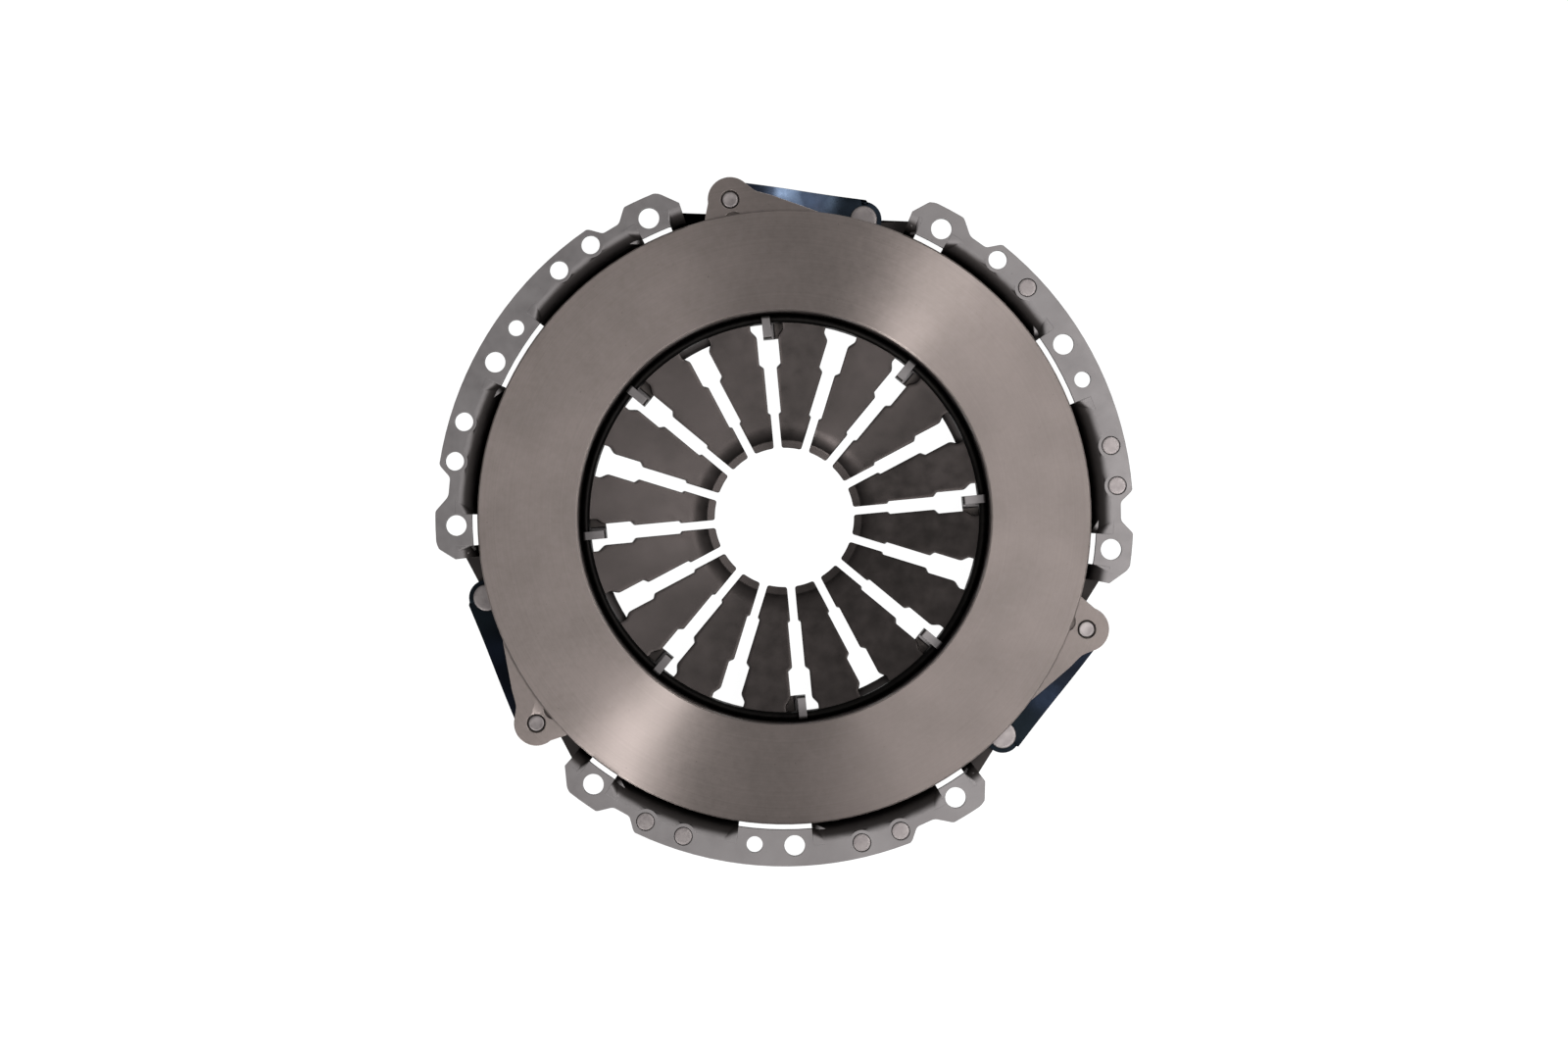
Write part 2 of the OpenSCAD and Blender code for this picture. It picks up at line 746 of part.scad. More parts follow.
module diaphragm_spring() {
    color(spring_colour)
        difference() {
            rotate_extrude($fn = 144)
                polygon(concat(spring_face(0), reversed(spring_face(spring_t))));
            for (i = [0:finger_count - 1])
                rotate(hook_a + i * slot_step)
                    translate([0, 0, floor_low_z - 3 * beyond])
                        linear_extrude(height = floor_depth + beyond)
                            slot_outline();
        }
}

module support_ring() {
    color(spring_colour)
        rotate_extrude($fn = 144)
            translate(wire_centre)
                circle(wire_r, $fn = 32);
}

// Height of a leaf's underside above the shelf, at distance x from the cover's rivet
function climb(x) =
    let (t = min(1, max(0, (x - strap_flat) / (strap_l - 2 * strap_flat))))
    strap_climb * t * t * (3 - 2 * t);

// One leaf of one strap, counted from the lug's back downwards
module strap_leaf(strap, leaf) {
    lift = (leaf_count - leaf) * leaf_pitch;
    stations = concat(
        [-strap_w],
        [for (i = [0:strap_steps]) strap_flat + i * (strap_l - 2 * strap_flat) / strap_steps],
        [strap_l + strap_w]
    );
    color(blue_colour)
        rotate((strap - 1) * segment_step)
            translate([each strap_point, shelf_z + leaf_gap + lift])
                rotate(strap_turn)
                    difference() {
                        intersection() {
                            rotate([90, 0, 0])
                                translate([0, 0, -strap_w])
                                    linear_extrude(height = 2 * strap_w)
                                        polygon(concat(
                                            [for (x = stations) [x, climb(x)]],
                                            [for (i = [len(stations) - 1:-1:0])
                                                [stations[i], climb(stations[i]) + leaf_t]]
                                        ));
                            translate([0, 0, -beyond])
                                linear_extrude(height = strap_climb + pack_t + 2 * beyond)
                                    union() {
                                        circle(strap_end_r, $fn = 48);
                                        translate([0, -strap_w / 2])
                                            square([strap_l, strap_w]);
                                        translate([strap_l, 0])
                                            circle(strap_w / 2, $fn = 48);
                                    }
                        }
                        translate([0, 0, -beyond])
                            cylinder(d = strap_shank_d + 2 * shank_gap, h = 3 * beyond, $fn = 48);
                        translate([strap_l, 0, 0])
                            cylinder(d = lug_shank_d + 2 * shank_gap, h = 3 * beyond, $fn = 48);
                    }
}

// Rivet through a lug and the strap behind it, headed on the gearbox side
module lug_rivet(i) {
    end_z = lug_z - 0.3;
    head_z = lug_back_z - pack_t;
    color(rivet_colour)
        rotate((i - 1) * segment_step)
            translate([each lug_point, 0]) {
                translate([0, 0, head_z])
                    cylinder(d = lug_shank_d, h = end_z - head_z - 0.4, $fn = 48);
                translate([0, 0, end_z - 0.4])
                    cylinder(d1 = lug_shank_d, d2 = lug_shank_d - 0.8, h = 0.4, $fn = 48);
                translate([0, 0, head_z])
                    mirror([0, 0, 1])
                        cap(lug_head_d / 2, lug_head_h);
            }
}

// Rivet through a strap and the cover's shelf
module strap_rivet(i) {
    head_z = shelf_z + pack_t + leaf_gap;
    foot_z = shelf_z - sheet_t;
    color(rivet_colour)
        rotate((i - 1) * segment_step)
            translate([each strap_point, 0]) {
                translate([0, 0, head_z])
                    cylinder(d = strap_head_d, h = strap_head_h - 0.3, $fn = 48);
                translate([0, 0, head_z + strap_head_h - 0.3])
                    cylinder(d1 = strap_head_d, d2 = strap_head_d - 0.6, h = 0.3, $fn = 48);
                translate([0, 0, foot_z])
                    cylinder(d = strap_shank_d, h = head_z - foot_z, $fn = 48);
                translate([0, 0, foot_z])
                    mirror([0, 0, 1])
                        cap(closed_head_d / 2, closed_head_h);
            }
}

// Rivet that balances the assembly, flush with the mounting face
module balance_rivet(i) {
    place = balance_filled[i - 1];
    flush = 0.1;
    color(rivet_colour)
        rotate(segment_a + place[0] * segment_step + place[1])
            translate([balance_circle_r, 0, 0]) {
                translate([0, 0, -sheet_t])
                    cylinder(d = balance_hole_d - 2 * balance_gap, h = sheet_t - flush, $fn = 48);
                translate([0, 0, -sheet_t])
                    mirror([0, 0, 1])
                        cap(balance_head_d / 2, balance_head_h);
            }
}

cover();
pressure_plate();
diaphragm_spring();
support_ring();
for (strap = [1:segment_count], leaf = [1:leaf_count])
    strap_leaf(strap, leaf);
for (i = [1:segment_count])
    lug_rivet(i);
for (i = [1:segment_count])
    strap_rivet(i);
for (i = [1:len(balance_filled)])
    balance_rivet(i);
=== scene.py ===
"""Clutch pressure plate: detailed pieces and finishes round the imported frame, with a plain studio.

Lengths are written in millimetres and turned to metres where a mesh is made. The frame is the
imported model's own: the flange's mounting face lies at z = 0 and +Z points to the flywheel.
"""
import logging
import math
from collections.abc import Iterable, Iterator
from contextlib import contextmanager
from dataclasses import dataclass, field
from enum import Enum

import bmesh
import bpy
import numpy as np
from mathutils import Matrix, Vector


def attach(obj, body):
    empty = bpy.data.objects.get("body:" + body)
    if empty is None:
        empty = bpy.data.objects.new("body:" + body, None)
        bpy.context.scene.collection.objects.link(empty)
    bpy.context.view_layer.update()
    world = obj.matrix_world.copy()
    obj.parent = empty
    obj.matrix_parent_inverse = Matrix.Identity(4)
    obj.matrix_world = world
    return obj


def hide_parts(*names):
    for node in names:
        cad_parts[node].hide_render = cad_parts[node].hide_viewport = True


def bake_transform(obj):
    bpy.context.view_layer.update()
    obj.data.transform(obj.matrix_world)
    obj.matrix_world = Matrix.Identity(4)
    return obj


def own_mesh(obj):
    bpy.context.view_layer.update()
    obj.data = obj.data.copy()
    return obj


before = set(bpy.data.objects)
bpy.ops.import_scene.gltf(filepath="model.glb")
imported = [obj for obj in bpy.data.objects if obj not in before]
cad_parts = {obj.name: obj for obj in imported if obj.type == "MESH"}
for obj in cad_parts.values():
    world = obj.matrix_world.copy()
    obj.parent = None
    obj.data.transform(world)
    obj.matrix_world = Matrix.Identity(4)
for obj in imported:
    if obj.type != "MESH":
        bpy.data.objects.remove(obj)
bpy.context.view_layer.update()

MM = 0.001
LOG = logging.getLogger("pressure_plate")


class Body(Enum):
    """The two bodies that the slide joins."""

    COVER = "cover_assembly"
    PLATE = "plate"


class Slot(Enum):
    """The material slots, by name."""

    COVER = "cover_steel"
    IRON = "cast_iron"
    SPRING = "spring_steel"
    WIRE = "ring_wire"
    BLUED = "blued_steel"
    RIVET = "rivet_steel"


def linear(colour: str) -> tuple[float, float, float, float]:
    """Turn an sRGB hex colour into linear red, green, blue and alpha.

    Args:
        colour: the colour as "#rrggbb".

    Returns:
        The four linear values.
    """
    c = np.array([int(colour[i:i + 2], 16) for i in (1, 3, 5)]) / 255
    c = np.where(c <= 0.04045, c / 12.92, ((c + 0.055) / 1.055) ** 2.4)
    return float(c[0]), float(c[1]), float(c[2]), 1.0


def per_mm(size: float) -> float:
    """The scale of a noise pattern whose features are size millimetres wide."""
    return 1 / (size * MM)


def add(tree: bpy.types.NodeTree, kind: str, inputs: dict | None = None, **settings) -> bpy.types.Node:
    """Add a node with its settings, values and links.

    Args:
        tree: the node tree that gets the node.
        kind: the node's type name.
        inputs: a value or an output socket for each input, by its name or number.
        settings: the node's own properties.

    Returns:
        The new node.
    """
    node = tree.nodes.new(kind)
    for key, value in settings.items():
        setattr(node, key, value)
    for key, value in (inputs or {}).items():
        if isinstance(value, bpy.types.NodeSocket):
            tree.links.new(value, node.inputs[key])
        else:
            node.inputs[key].default_value = value
    return node


@dataclass(frozen=True)
class Metal:
    """A bare metal surface: its colour, cloudiness, grain, pits and an edge colour, lighter where edges are rubbed
    bright and darker where it is painted shade.

    Sizes are in millimetres. A pattern finer than about 0.4 mm would not show in the render, so
    the finest ones are drawn at that size.
    """

    name: str
    colour: str
    shade: str
    # Edge colour: lighter where edges are rubbed bright, darker where it is painted shade along the edges
    edge_wear_and_shade_colour: str
    roughness: float
    roughness_swing: float = 0.08
    cloud_size: float = 18.0
    mottle_size: float = 3.5
    grain_size: float = 0.5
    grain_depth: float = 0.02
    pit_size: float = 0.9
    pit_share: float = 0.06
    pit_colour: str = "#141211"
    pit_darkness: float = 0.35
    edge_width: float = 0.35
    edge_share: float = 0.5

    def material(self) -> bpy.types.Material:
        """Build the material.

        Returns:
            A material with one metallic shader.
        """
        material = bpy.data.materials.new(self.name)
        material.use_nodes = True
        tree = material.node_tree
        tree.nodes.clear()
        place = add(tree, "ShaderNodeTexCoord").outputs["Object"]
        shader = add(tree, "ShaderNodeBsdfPrincipled", {"Metallic": 1.0})
        self.dress(tree, shader, place)
        out = add(tree, "ShaderNodeOutputMaterial")
        tree.links.new(shader.outputs["BSDF"], out.inputs["Surface"])
        return material

    def rounded_edge(self, tree: bpy.types.NodeTree) -> tuple[bpy.types.NodeSocket, bpy.types.NodeSocket]:
        """Where an edge is rounded and takes the edge colour: rubbed bright by tumbling and handling where that colour
        is lighter, painted shade where it is darker.

        The rounded normal turns away from the flat one near an edge, so one minus their product
        is 0 on a face and grows towards its edges.

        Args:
            tree: the material's node tree.

        Returns:
            The share of the edge colour, up to edge_share, and the rounded normal.
        """
        rounded = add(tree, "ShaderNodeBevel", {"Radius": self.edge_width * MM}, samples=6)
        flat = add(tree, "ShaderNodeNewGeometry").outputs["Normal"]
        dot = add(tree, "ShaderNodeVectorMath", {0: rounded.outputs[0], 1: flat}, operation="DOT_PRODUCT")
        share = add(
            tree, "ShaderNodeMapRange",
            {"Value": dot.outputs["Value"], "From Min": 0.995, "From Max": 0.8, "To Max": self.edge_share},
        )
        return share.outputs["Result"], rounded.outputs[0]

    def dress(
        self, tree: bpy.types.NodeTree, shader: bpy.types.Node, place: bpy.types.NodeSocket
    ) -> None:
        """Give the shader its colour, roughness and fine relief.

        Args:
            tree: the material's node tree.
            shader: the metallic shader.
            place: the object's own coordinates.
        """
        cloud, mottle, speck, grain = (
            add(tree, "ShaderNodeTexNoise", {"Vector": place, "Scale": per_mm(size), "Detail": detail}).outputs["Fac"]
            for size, detail in (
                (self.cloud_size, 3.0), (self.mottle_size, 4.0), (self.pit_size, 2.0), (self.grain_size, 2.0),
            )
        )
        # The tone is three fifths cloud and two fifths mottle, stretched about its middle
        tone = add(tree, "ShaderNodeMath", {0: cloud, 1: 0.6}, operation="MULTIPLY")
        tone = add(tree, "ShaderNodeMath", {0: mottle, 1: 0.4, 2: tone.outputs[0]}, operation="MULTIPLY_ADD")
        tone = add(
            tree, "ShaderNodeMapRange", {"Value": tone.outputs[0], "From Min": 0.36, "From Max": 0.64}
        ).outputs["Result"]
        # The noise seldom passes 0.75, so a larger share of pits lowers the line where they show
        pits = add(
            tree, "ShaderNodeMapRange",
            {"Value": speck, "From Min": 0.75 - self.pit_share, "From Max": 0.82 - self.pit_share,
             "To Max": self.pit_darkness},
        ).outputs["Result"]
        edge_wear_and_shade, normal = self.rounded_edge(tree)
        base = linear(self.shade)
        # The edge colour is rubbed-bright metal where it is lighter than the surface and painted shade where it is
        # darker, as on the spring and the rivets
        for share, colour in ((tone, self.colour), (pits, self.pit_colour), (edge_wear_and_shade, self.edge_wear_and_shade_colour)):
            base = add(tree, "ShaderNodeMix", {0: share, 6: base, 7: linear(colour)}, data_type="RGBA").outputs[2]
        tree.links.new(base, shader.inputs["Base Color"])
        rough = add(
            tree, "ShaderNodeMapRange",
            {"Value": mottle, "From Min": 0.3, "From Max": 0.7,
             "To Min": self.roughness - self.roughness_swing, "To Max": self.roughness + self.roughness_swing},
        ).outputs["Result"]
        tree.links.new(rough, shader.inputs["Roughness"])
        relief = add(
            tree, "ShaderNodeBump",
            {"Height": grain, "Distance": self.grain_depth * MM, "Strength": 1.0, "Normal": normal},
        )
        tree.links.new(relief.outputs["Normal"], shader.inputs["Normal"])


@dataclass(frozen=True)
class TurnedIron(Metal):
    """Grey cast iron turned on a lathe: fine rings that spread light into wedges across the face."""

    anisotropy: float = 1.0
    ring_pitch: float = 0.9
    ring_depth: float = 0.004
    ring_tint: float = 0.04

    def dress(
        self, tree: bpy.types.NodeTree, shader: bpy.types.Node, place: bpy.types.NodeSocket
    ) -> None:
        """Add the turning rings to the plain metal.

        The tangent runs outwards from the axis, so the gloss is wide across the rings and narrow
        along them. The rings are noise along the radius, drawn wider than real turning marks so
        that they show.

        Args:
            tree: the material's node tree.
            shader: the metallic shader.
            place: the object's own coordinates.
        """
        Metal.dress(self, tree, shader, place)
        flat = add(tree, "ShaderNodeVectorMath", {0: place, 1: (1.0, 1.0, 0.0)}, operation="MULTIPLY")
        outwards = add(tree, "ShaderNodeVectorMath", {0: flat.outputs[0]}, operation="NORMALIZE")
        radius = add(tree, "ShaderNodeVectorMath", {0: flat.outputs[0]}, operation="LENGTH").outputs["Value"]
        rings = add(
            tree, "ShaderNodeTexNoise",
            {"W": radius, "Scale": per_mm(self.ring_pitch), "Detail": 4.0, "Roughness": 0.7},
            noise_dimensions="1D",
        ).outputs["Fac"]
        relief = add(
            tree, "ShaderNodeBump",
            {"Height": rings, "Distance": self.ring_depth * MM, "Strength": 1.0,
             "Normal": shader.inputs["Normal"].links[0].from_socket},
        )
        tree.links.new(relief.outputs["Normal"], shader.inputs["Normal"])
        base = shader.inputs["Base Color"].links[0].from_socket
        shade = add(
            tree, "ShaderNodeMapRange",
            {"Value": rings, "From Min": 0.3, "From Max": 0.7,
             "To Min": 1 - self.ring_tint, "To Max": 1 + self.ring_tint},
        ).outputs["Result"]
        toned = add(tree, "ShaderNodeVectorMath", {0: base, "Scale": shade}, operation="SCALE")
        tree.links.new(toned.outputs[0], shader.inputs["Base Color"])
        tree.links.new(outwards.outputs[0], shader.inputs["Tangent"])
        shader.inputs["Anisotropic"].default_value = self.anisotropy


@dataclass(frozen=True)
class BluedSteel(Metal):
    """Spring strip tempered to a dark blue, with paler blue where the oxide is thinner.

    The flat clamped end on the cover's shelf gets painted shade, for the dark that it reflects, and is almost black.
    Each pair says where a share starts and
    where it is full: the streaks' noise, and the height of the clamped end.
    """

    pale: str = "#24334b"
    streaks: tuple[float, float] = (0.45, 0.68)
    streak_size: float = 14.0
    streak_share: float = 0.8
    # Painted shade on the clamped end: its colour, the heights where it starts and is full, and its greatest share
    end_painted_shade: str = "#0c1013"
    end_z: tuple[float, float] = (-17.6, -19.0)
    end_share: float = 0.85

    def dress(
        self, tree: bpy.types.NodeTree, shader: bpy.types.Node, place: bpy.types.NodeSocket
    ) -> None:
        """Add the paler temper colours and the painted shade on the clamped end to the plain metal.

        Args:
            tree: the material's node tree.
            shader: the metallic shader.
            place: the object's own coordinates.
        """
        Metal.dress(self, tree, shader, place)
        streaks = add(
            tree, "ShaderNodeTexNoise", {"Vector": place, "Scale": per_mm(self.streak_size), "Detail": 1.0}
        ).outputs["Fac"]
        depth = add(tree, "ShaderNodeSeparateXYZ", {0: place}).outputs["Z"]
        base = shader.inputs["Base Color"].links[0].from_socket
        # The streaks' paler blue, then the painted shade on the clamped end
        for value, start, end, most, colour in (
            (streaks, *self.streaks, self.streak_share, self.pale),
            (depth, *(z * MM for z in self.end_z), self.end_share, self.end_painted_shade),
        ):
            share = add(
                tree, "ShaderNodeMapRange", {"Value": value, "From Min": start, "From Max": end, "To Max": most}
            ).outputs["Result"]
            base = add(tree, "ShaderNodeMix", {0: share, 6: base, 7: linear(colour)}, data_type="RGBA").outputs[2]
        tree.links.new(base, shader.inputs["Base Color"])


@dataclass(frozen=True)
class DrawnSteel(Metal):
    """Pressed steel with painted shade on its drawn wall and in its pockets, where the gaps are dark, while its flat
    flange is bare.

    The painted shade starts where the sheet turns towards the axis and is full where it has turned by
    about 35 degrees. It also lies on the deep pockets' upward faces. Each pair says where the
    painted shade starts and where it is full: the normal's outward and upward parts, height and radius.
    """

    # The painted shade's colour and greatest share, then where it starts and where it is full
    painted_shade: str = "#211e1d"
    painted_shade_share: float = 0.93
    painted_shade_turn: tuple[float, float] = (-0.1, -0.56)
    painted_shade_up: tuple[float, float] = (0.2, 0.7)
    painted_shade_z: tuple[float, float] = (-8.0, -15.0)
    painted_shade_r: tuple[float, float] = (95.0, 105.0)

    def dress(
        self, tree: bpy.types.NodeTree, shader: bpy.types.Node, place: bpy.types.NodeSocket
    ) -> None:
        """Add the painted shade to the plain metal.

        Args:
            tree: the material's node tree.
            shader: the metallic shader.
            place: the object's own coordinates.
        """
        Metal.dress(self, tree, shader, place)
        facing = add(tree, "ShaderNodeTexCoord").outputs["Normal"]
        flat = add(tree, "ShaderNodeVectorMath", {0: place, 1: (1.0, 1.0, 0.0)}, operation="MULTIPLY").outputs[0]
        outwards = add(tree, "ShaderNodeVectorMath", {0: flat}, operation="NORMALIZE").outputs[0]
        radius = add(tree, "ShaderNodeVectorMath", {0: flat}, operation="LENGTH").outputs["Value"]
        turn = add(tree, "ShaderNodeVectorMath", {0: facing, 1: outwards}, operation="DOT_PRODUCT").outputs["Value"]
        depth, up = (add(tree, "ShaderNodeSeparateXYZ", {0: way}).outputs["Z"] for way in (place, facing))
        inward, upward, deep, far = (
            add(
                tree, "ShaderNodeMapRange", {"Value": value, "From Min": start, "From Max": end},
                interpolation_type="SMOOTHSTEP",
            ).outputs["Result"]
            for value, start, end in (
                (turn, *self.painted_shade_turn), (up, *self.painted_shade_up),
                (depth, *(z * MM for z in self.painted_shade_z)), (radius, *(r * MM for r in self.painted_shade_r)),
            )
        )
        share = deep
        for other, operation in (
            (upward, "MULTIPLY"), (far, "MULTIPLY"), (inward, "MAXIMUM"), (self.painted_shade_share, "MULTIPLY"),
        ):
            share = add(tree, "ShaderNodeMath", {0: share, 1: other}, operation=operation).outputs[0]
        # Darken the base towards the painted shade in the drawn wall and the deep pockets
        base = shader.inputs["Base Color"].links[0].from_socket
        mixed = add(tree, "ShaderNodeMix", {0: share, 6: base, 7: linear(self.painted_shade)}, data_type="RGBA").outputs[2]
        tree.links.new(mixed, shader.inputs["Base Color"])


# Turned friction face and lug faces: the tool's rings stay sharp, so the gloss is directional
TURNED_IRON = TurnedIron(
    name="turned_cast_iron", colour="#6b6360", shade="#615a57", edge_wear_and_shade_colour="#a89e99",
    roughness=0.4, roughness_swing=0.02, cloud_size=26.0, mottle_size=2.4, grain_size=0.5,
    grain_depth=0.003, pit_size=1.3, pit_share=0.02, edge_width=0.3,
)
# Shot-blasted casting: dull, grainy and darker than the machined faces
CAST_IRON = Metal(
    name="blasted_cast_iron", colour="#5d5653", shade="#47413f", edge_wear_and_shade_colour="#8a817c",
    roughness=0.62, cloud_size=22.0, mottle_size=3.0, grain_size=0.9, grain_depth=0.05,
    pit_size=1.1, pit_share=0.1, edge_width=0.6, edge_share=0.4,
)
# Pickled and pressed strip: satin grey with soft cloudy patches, burnished along its sheared edges, with painted shade
# on the drawn wall and in the pockets
PRESSED_STEEL = DrawnSteel(
    name="pressed_strip_steel", colour="#605d5d", shade="#555252", edge_wear_and_shade_colour="#8c8888",
    roughness=0.52, roughness_swing=0.05, cloud_size=26.0, mottle_size=5.0, grain_size=0.5,
    grain_depth=0.006, pit_size=1.6, pit_share=0.03, edge_width=0.4, edge_share=0.4,
)
# Hook feet: a darker copy of the same sheet, painted shade for feet that lie deep under the spring
SHADED_HOOK_FOOT = Metal(
    name="shaded_strip_steel", colour="#4a4543", shade="#3a3634", edge_wear_and_shade_colour="#5f5a58",
    roughness=0.5, cloud_size=8.0, mottle_size=2.5, grain_size=0.5, grain_depth=0.006,
)
# Hardened, shot-peened and oiled spring: dark grey brown and satin, with painted shade along the edges of its punched
# slots
PEENED_SPRING = Metal(
    name="shot_peened_spring_steel", colour="#302c2b", shade="#262322", edge_wear_and_shade_colour="#161413",
    roughness=0.38, roughness_swing=0.06, cloud_size=24.0, mottle_size=5.0, grain_size=0.6,
    grain_depth=0.008, pit_size=1.2, pit_share=0.03, edge_width=0.45, edge_share=0.8,
)
# Drawn wire with its black scale
BLACK_WIRE = Metal(
    name="black_drawn_wire", colour="#100f0e", shade="#0b0a0a", edge_wear_and_shade_colour="#2e2b2a",
    roughness=0.42, cloud_size=12.0, mottle_size=2.0, grain_size=0.5, grain_depth=0.006,
)
# Tempered strap leaves of the first pack: a paler, lit copy of the blue strip, painted light for the pack that catches
# the lamps
LIT_BLUED_STRIP = BluedSteel(
    name="lit_blue_tempered_strip", colour="#232a36", shade="#181c24", edge_wear_and_shade_colour="#141a24", pale="#434e5e",
    roughness=0.3, roughness_swing=0.05, cloud_size=9.0, mottle_size=2.5, grain_size=0.5,
    grain_depth=0.004, pit_size=1.0, pit_share=0.02, edge_width=0.2, edge_share=0.4,
)
# Leaves of the other two packs: a darker, shaded copy of the blue strip, painted shade
SHADED_BLUED_STRIP = BluedSteel(
    name="shaded_blue_tempered_strip", colour="#0e1117", shade="#0b0d12", edge_wear_and_shade_colour="#0c0e12", pale="#131821",
    roughness=0.42, roughness_swing=0.05, cloud_size=9.0, mottle_size=2.5, grain_size=0.5,
    grain_depth=0.004, pit_size=1.0, pit_share=0.02, edge_width=0.2, edge_share=0.4,
)
# Cold-headed rivets, bare, with painted shade round their edges, where they meet their holes
HEADED_RIVET = Metal(
    name="cold_headed_rivet_steel", colour="#686362", shade="#595454", edge_wear_and_shade_colour="#2b2625",
    roughness=0.45, cloud_size=5.0, mottle_size=1.4, grain_size=0.5, grain_depth=0.01,
    pit_size=0.8, pit_share=0.05, edge_width=0.45, edge_share=0.8,
)


def grid_faces(rows: int, columns: int, around: bool = False) -> np.ndarray:
    """Four-cornered faces of a grid of points stored row by row.

    Args:
        rows: how many rows of points there are.
        columns: how many points a row has.
        around: whether each row's last point joins its first.

    Returns:
        One face on each line, wound so that it faces out where rows run down and columns run
        counter-clockwise.
    """
    i, j = np.meshgrid(np.arange(rows - 1), np.arange(columns if around else columns - 1), indexing="ij")
    k = (j + 1) % columns
    top, low = i * columns, (i + 1) * columns
    return np.stack([top + j, low + j, low + k, top + k], -1).reshape(-1, 4)


def arc(centre: tuple[float, float], radius: float, start: float, end: float, count: int) -> np.ndarray:
    """Points at even steps along an arc: the centre plus the radius at each angle, in degrees."""
    a = np.radians(np.linspace(start, end, count))
    return np.array(centre) + radius * np.stack([np.cos(a), np.sin(a)], -1)


def joined(sheets: Iterable[tuple[np.ndarray, np.ndarray]]) -> tuple[np.ndarray, np.ndarray]:
    """Put the points and faces of sheets one after another, with the faces' numbers moved along."""
    points, faces = zip(*sheets)
    starts = np.cumsum([0, *map(len, points[:-1])])
    return np.concatenate(points), np.concatenate([f + start for f, start in zip(faces, starts)])


@contextmanager
def editing(mesh: bpy.types.Mesh, source: bpy.types.Mesh | None = None) -> Iterator[bmesh.types.BMesh]:
    """Open a mesh, or the source that it is copied from, and write the result to the mesh."""
    work = bmesh.new()
    work.from_mesh(source or mesh)
    yield work
    work.to_mesh(mesh)
    work.free()


def placed(name: str, data: bpy.types.ID) -> bpy.types.Object:
    """A new object of the scene that carries the data, at the origin."""
    obj = bpy.data.objects.new(name, data)
    bpy.context.scene.collection.objects.link(obj)
    return obj


def piece(name: str, points: np.ndarray, faces: np.ndarray, weld: float = 1e-4) -> bpy.types.Object:
    """Put points and faces into a new object, with doubled points welded.

    Args:
        name: the object's name.
        points: points in millimetres, one on each line.
        faces: four point numbers on each line.
        weld: how far apart welded points may lie, in millimetres.

    Returns:
        The object, at the origin.
    """
    mesh = bpy.data.meshes.new(name)
    mesh.vertices.add(len(points))
    mesh.vertices.foreach_set("co", (points * MM).ravel())
    mesh.loops.add(faces.size)
    mesh.loops.foreach_set("vertex_index", faces.ravel())
    mesh.polygons.add(len(faces))
    mesh.polygons.foreach_set("loop_start", np.arange(0, faces.size, 4))
    mesh.update(calc_edges=True)
    mesh.validate()
    with editing(mesh) as work:
        bmesh.ops.remove_doubles(work, verts=work.verts, dist=weld * MM)
    return placed(name, mesh)


def smoothed(obj: bpy.types.Object, crease: float = 32.0) -> bpy.types.Object:
    """Shade an object smooth, apart from edges sharper than crease degrees."""
    mesh = obj.data
    mesh.polygons.foreach_set("use_smooth", np.ones(len(mesh.polygons), bool))
    mesh.set_sharp_from_angle(angle=math.radians(crease))
    return obj


def applied(obj: bpy.types.Object) -> bpy.types.Object:
    """Turn an object's live modifiers into its mesh."""
    graph = bpy.context.evaluated_depsgraph_get()
    mesh = bpy.data.meshes.new_from_object(obj.evaluated_get(graph), depsgraph=graph)
    obj.modifiers.clear()
    obj.data = mesh
    return obj


def facing_out(obj: bpy.types.Object) -> bpy.types.Object:
    """Turn the faces of a closed mesh outwards."""
    with editing(obj.data) as work:
        bmesh.ops.recalc_face_normals(work, faces=work.faces)
    return obj


def facing_up(obj: bpy.types.Object) -> bpy.types.Object:
    """Turn the faces of an open sheet so that they look along +Z."""
    with editing(obj.data) as work:
        work.normal_update()
        bmesh.ops.reverse_faces(work, faces=[face for face in work.faces if face.normal.z < 0])
    return obj


def thickened(
    obj: bpy.types.Object, thickness: float, bevel: float = 0.0, down: bool = False, even: bool = False,
    crease: float = 32.0,
) -> bpy.types.Object:
    """Give an open sheet its thickness and rounded edges, and shade it smooth.

    Args:
        obj: the sheet.
        thickness: in millimetres.
        bevel: width of the rounded edges in millimetres, or 0 for none.
        down: whether it grows against its normals and not along them.
        even: whether the thickness is kept where the sheet bends.
        crease: edges sharper than this, in degrees, stay sharp.

    Returns:
        The closed piece.
    """
    work = obj.modifiers.new("thickness", "SOLIDIFY")
    work.thickness, work.offset, work.use_even_offset = thickness * MM, -1.0 if down else 1.0, even
    if bevel:
        edge = obj.modifiers.new("edges", "BEVEL")
        edge.width, edge.segments, edge.limit_method = bevel * MM, 2, "ANGLE"
        edge.angle_limit = math.radians(50)
    return smoothed(facing_out(applied(obj)), crease)


def turned(name: str, profile: np.ndarray, centre: np.ndarray, columns: int = 64) -> bpy.types.Object:
    """A closed body of revolution about a vertical line.

    A point is the centre plus the profile's radius at its angle, at the profile's height.

    Args:
        name: the object's name.
        profile: radius and height of each point in millimetres, from pole to pole.
        centre: where the line stands, as x and y in millimetres.
        columns: how many steps go round.

    Returns:
        The object.
    """
    a = np.linspace(0, 2 * np.pi, columns, endpoint=False)
    r, z = profile[:, :1], profile[:, 1:]
    points = np.stack(
        [centre[0] + r * np.cos(a), centre[1] + r * np.sin(a), np.broadcast_to(z, (len(profile), columns))], -1
    )
    obj = piece(name, points.reshape(-1, 3), grid_faces(len(profile), columns, around=True))
    return smoothed(facing_out(obj))


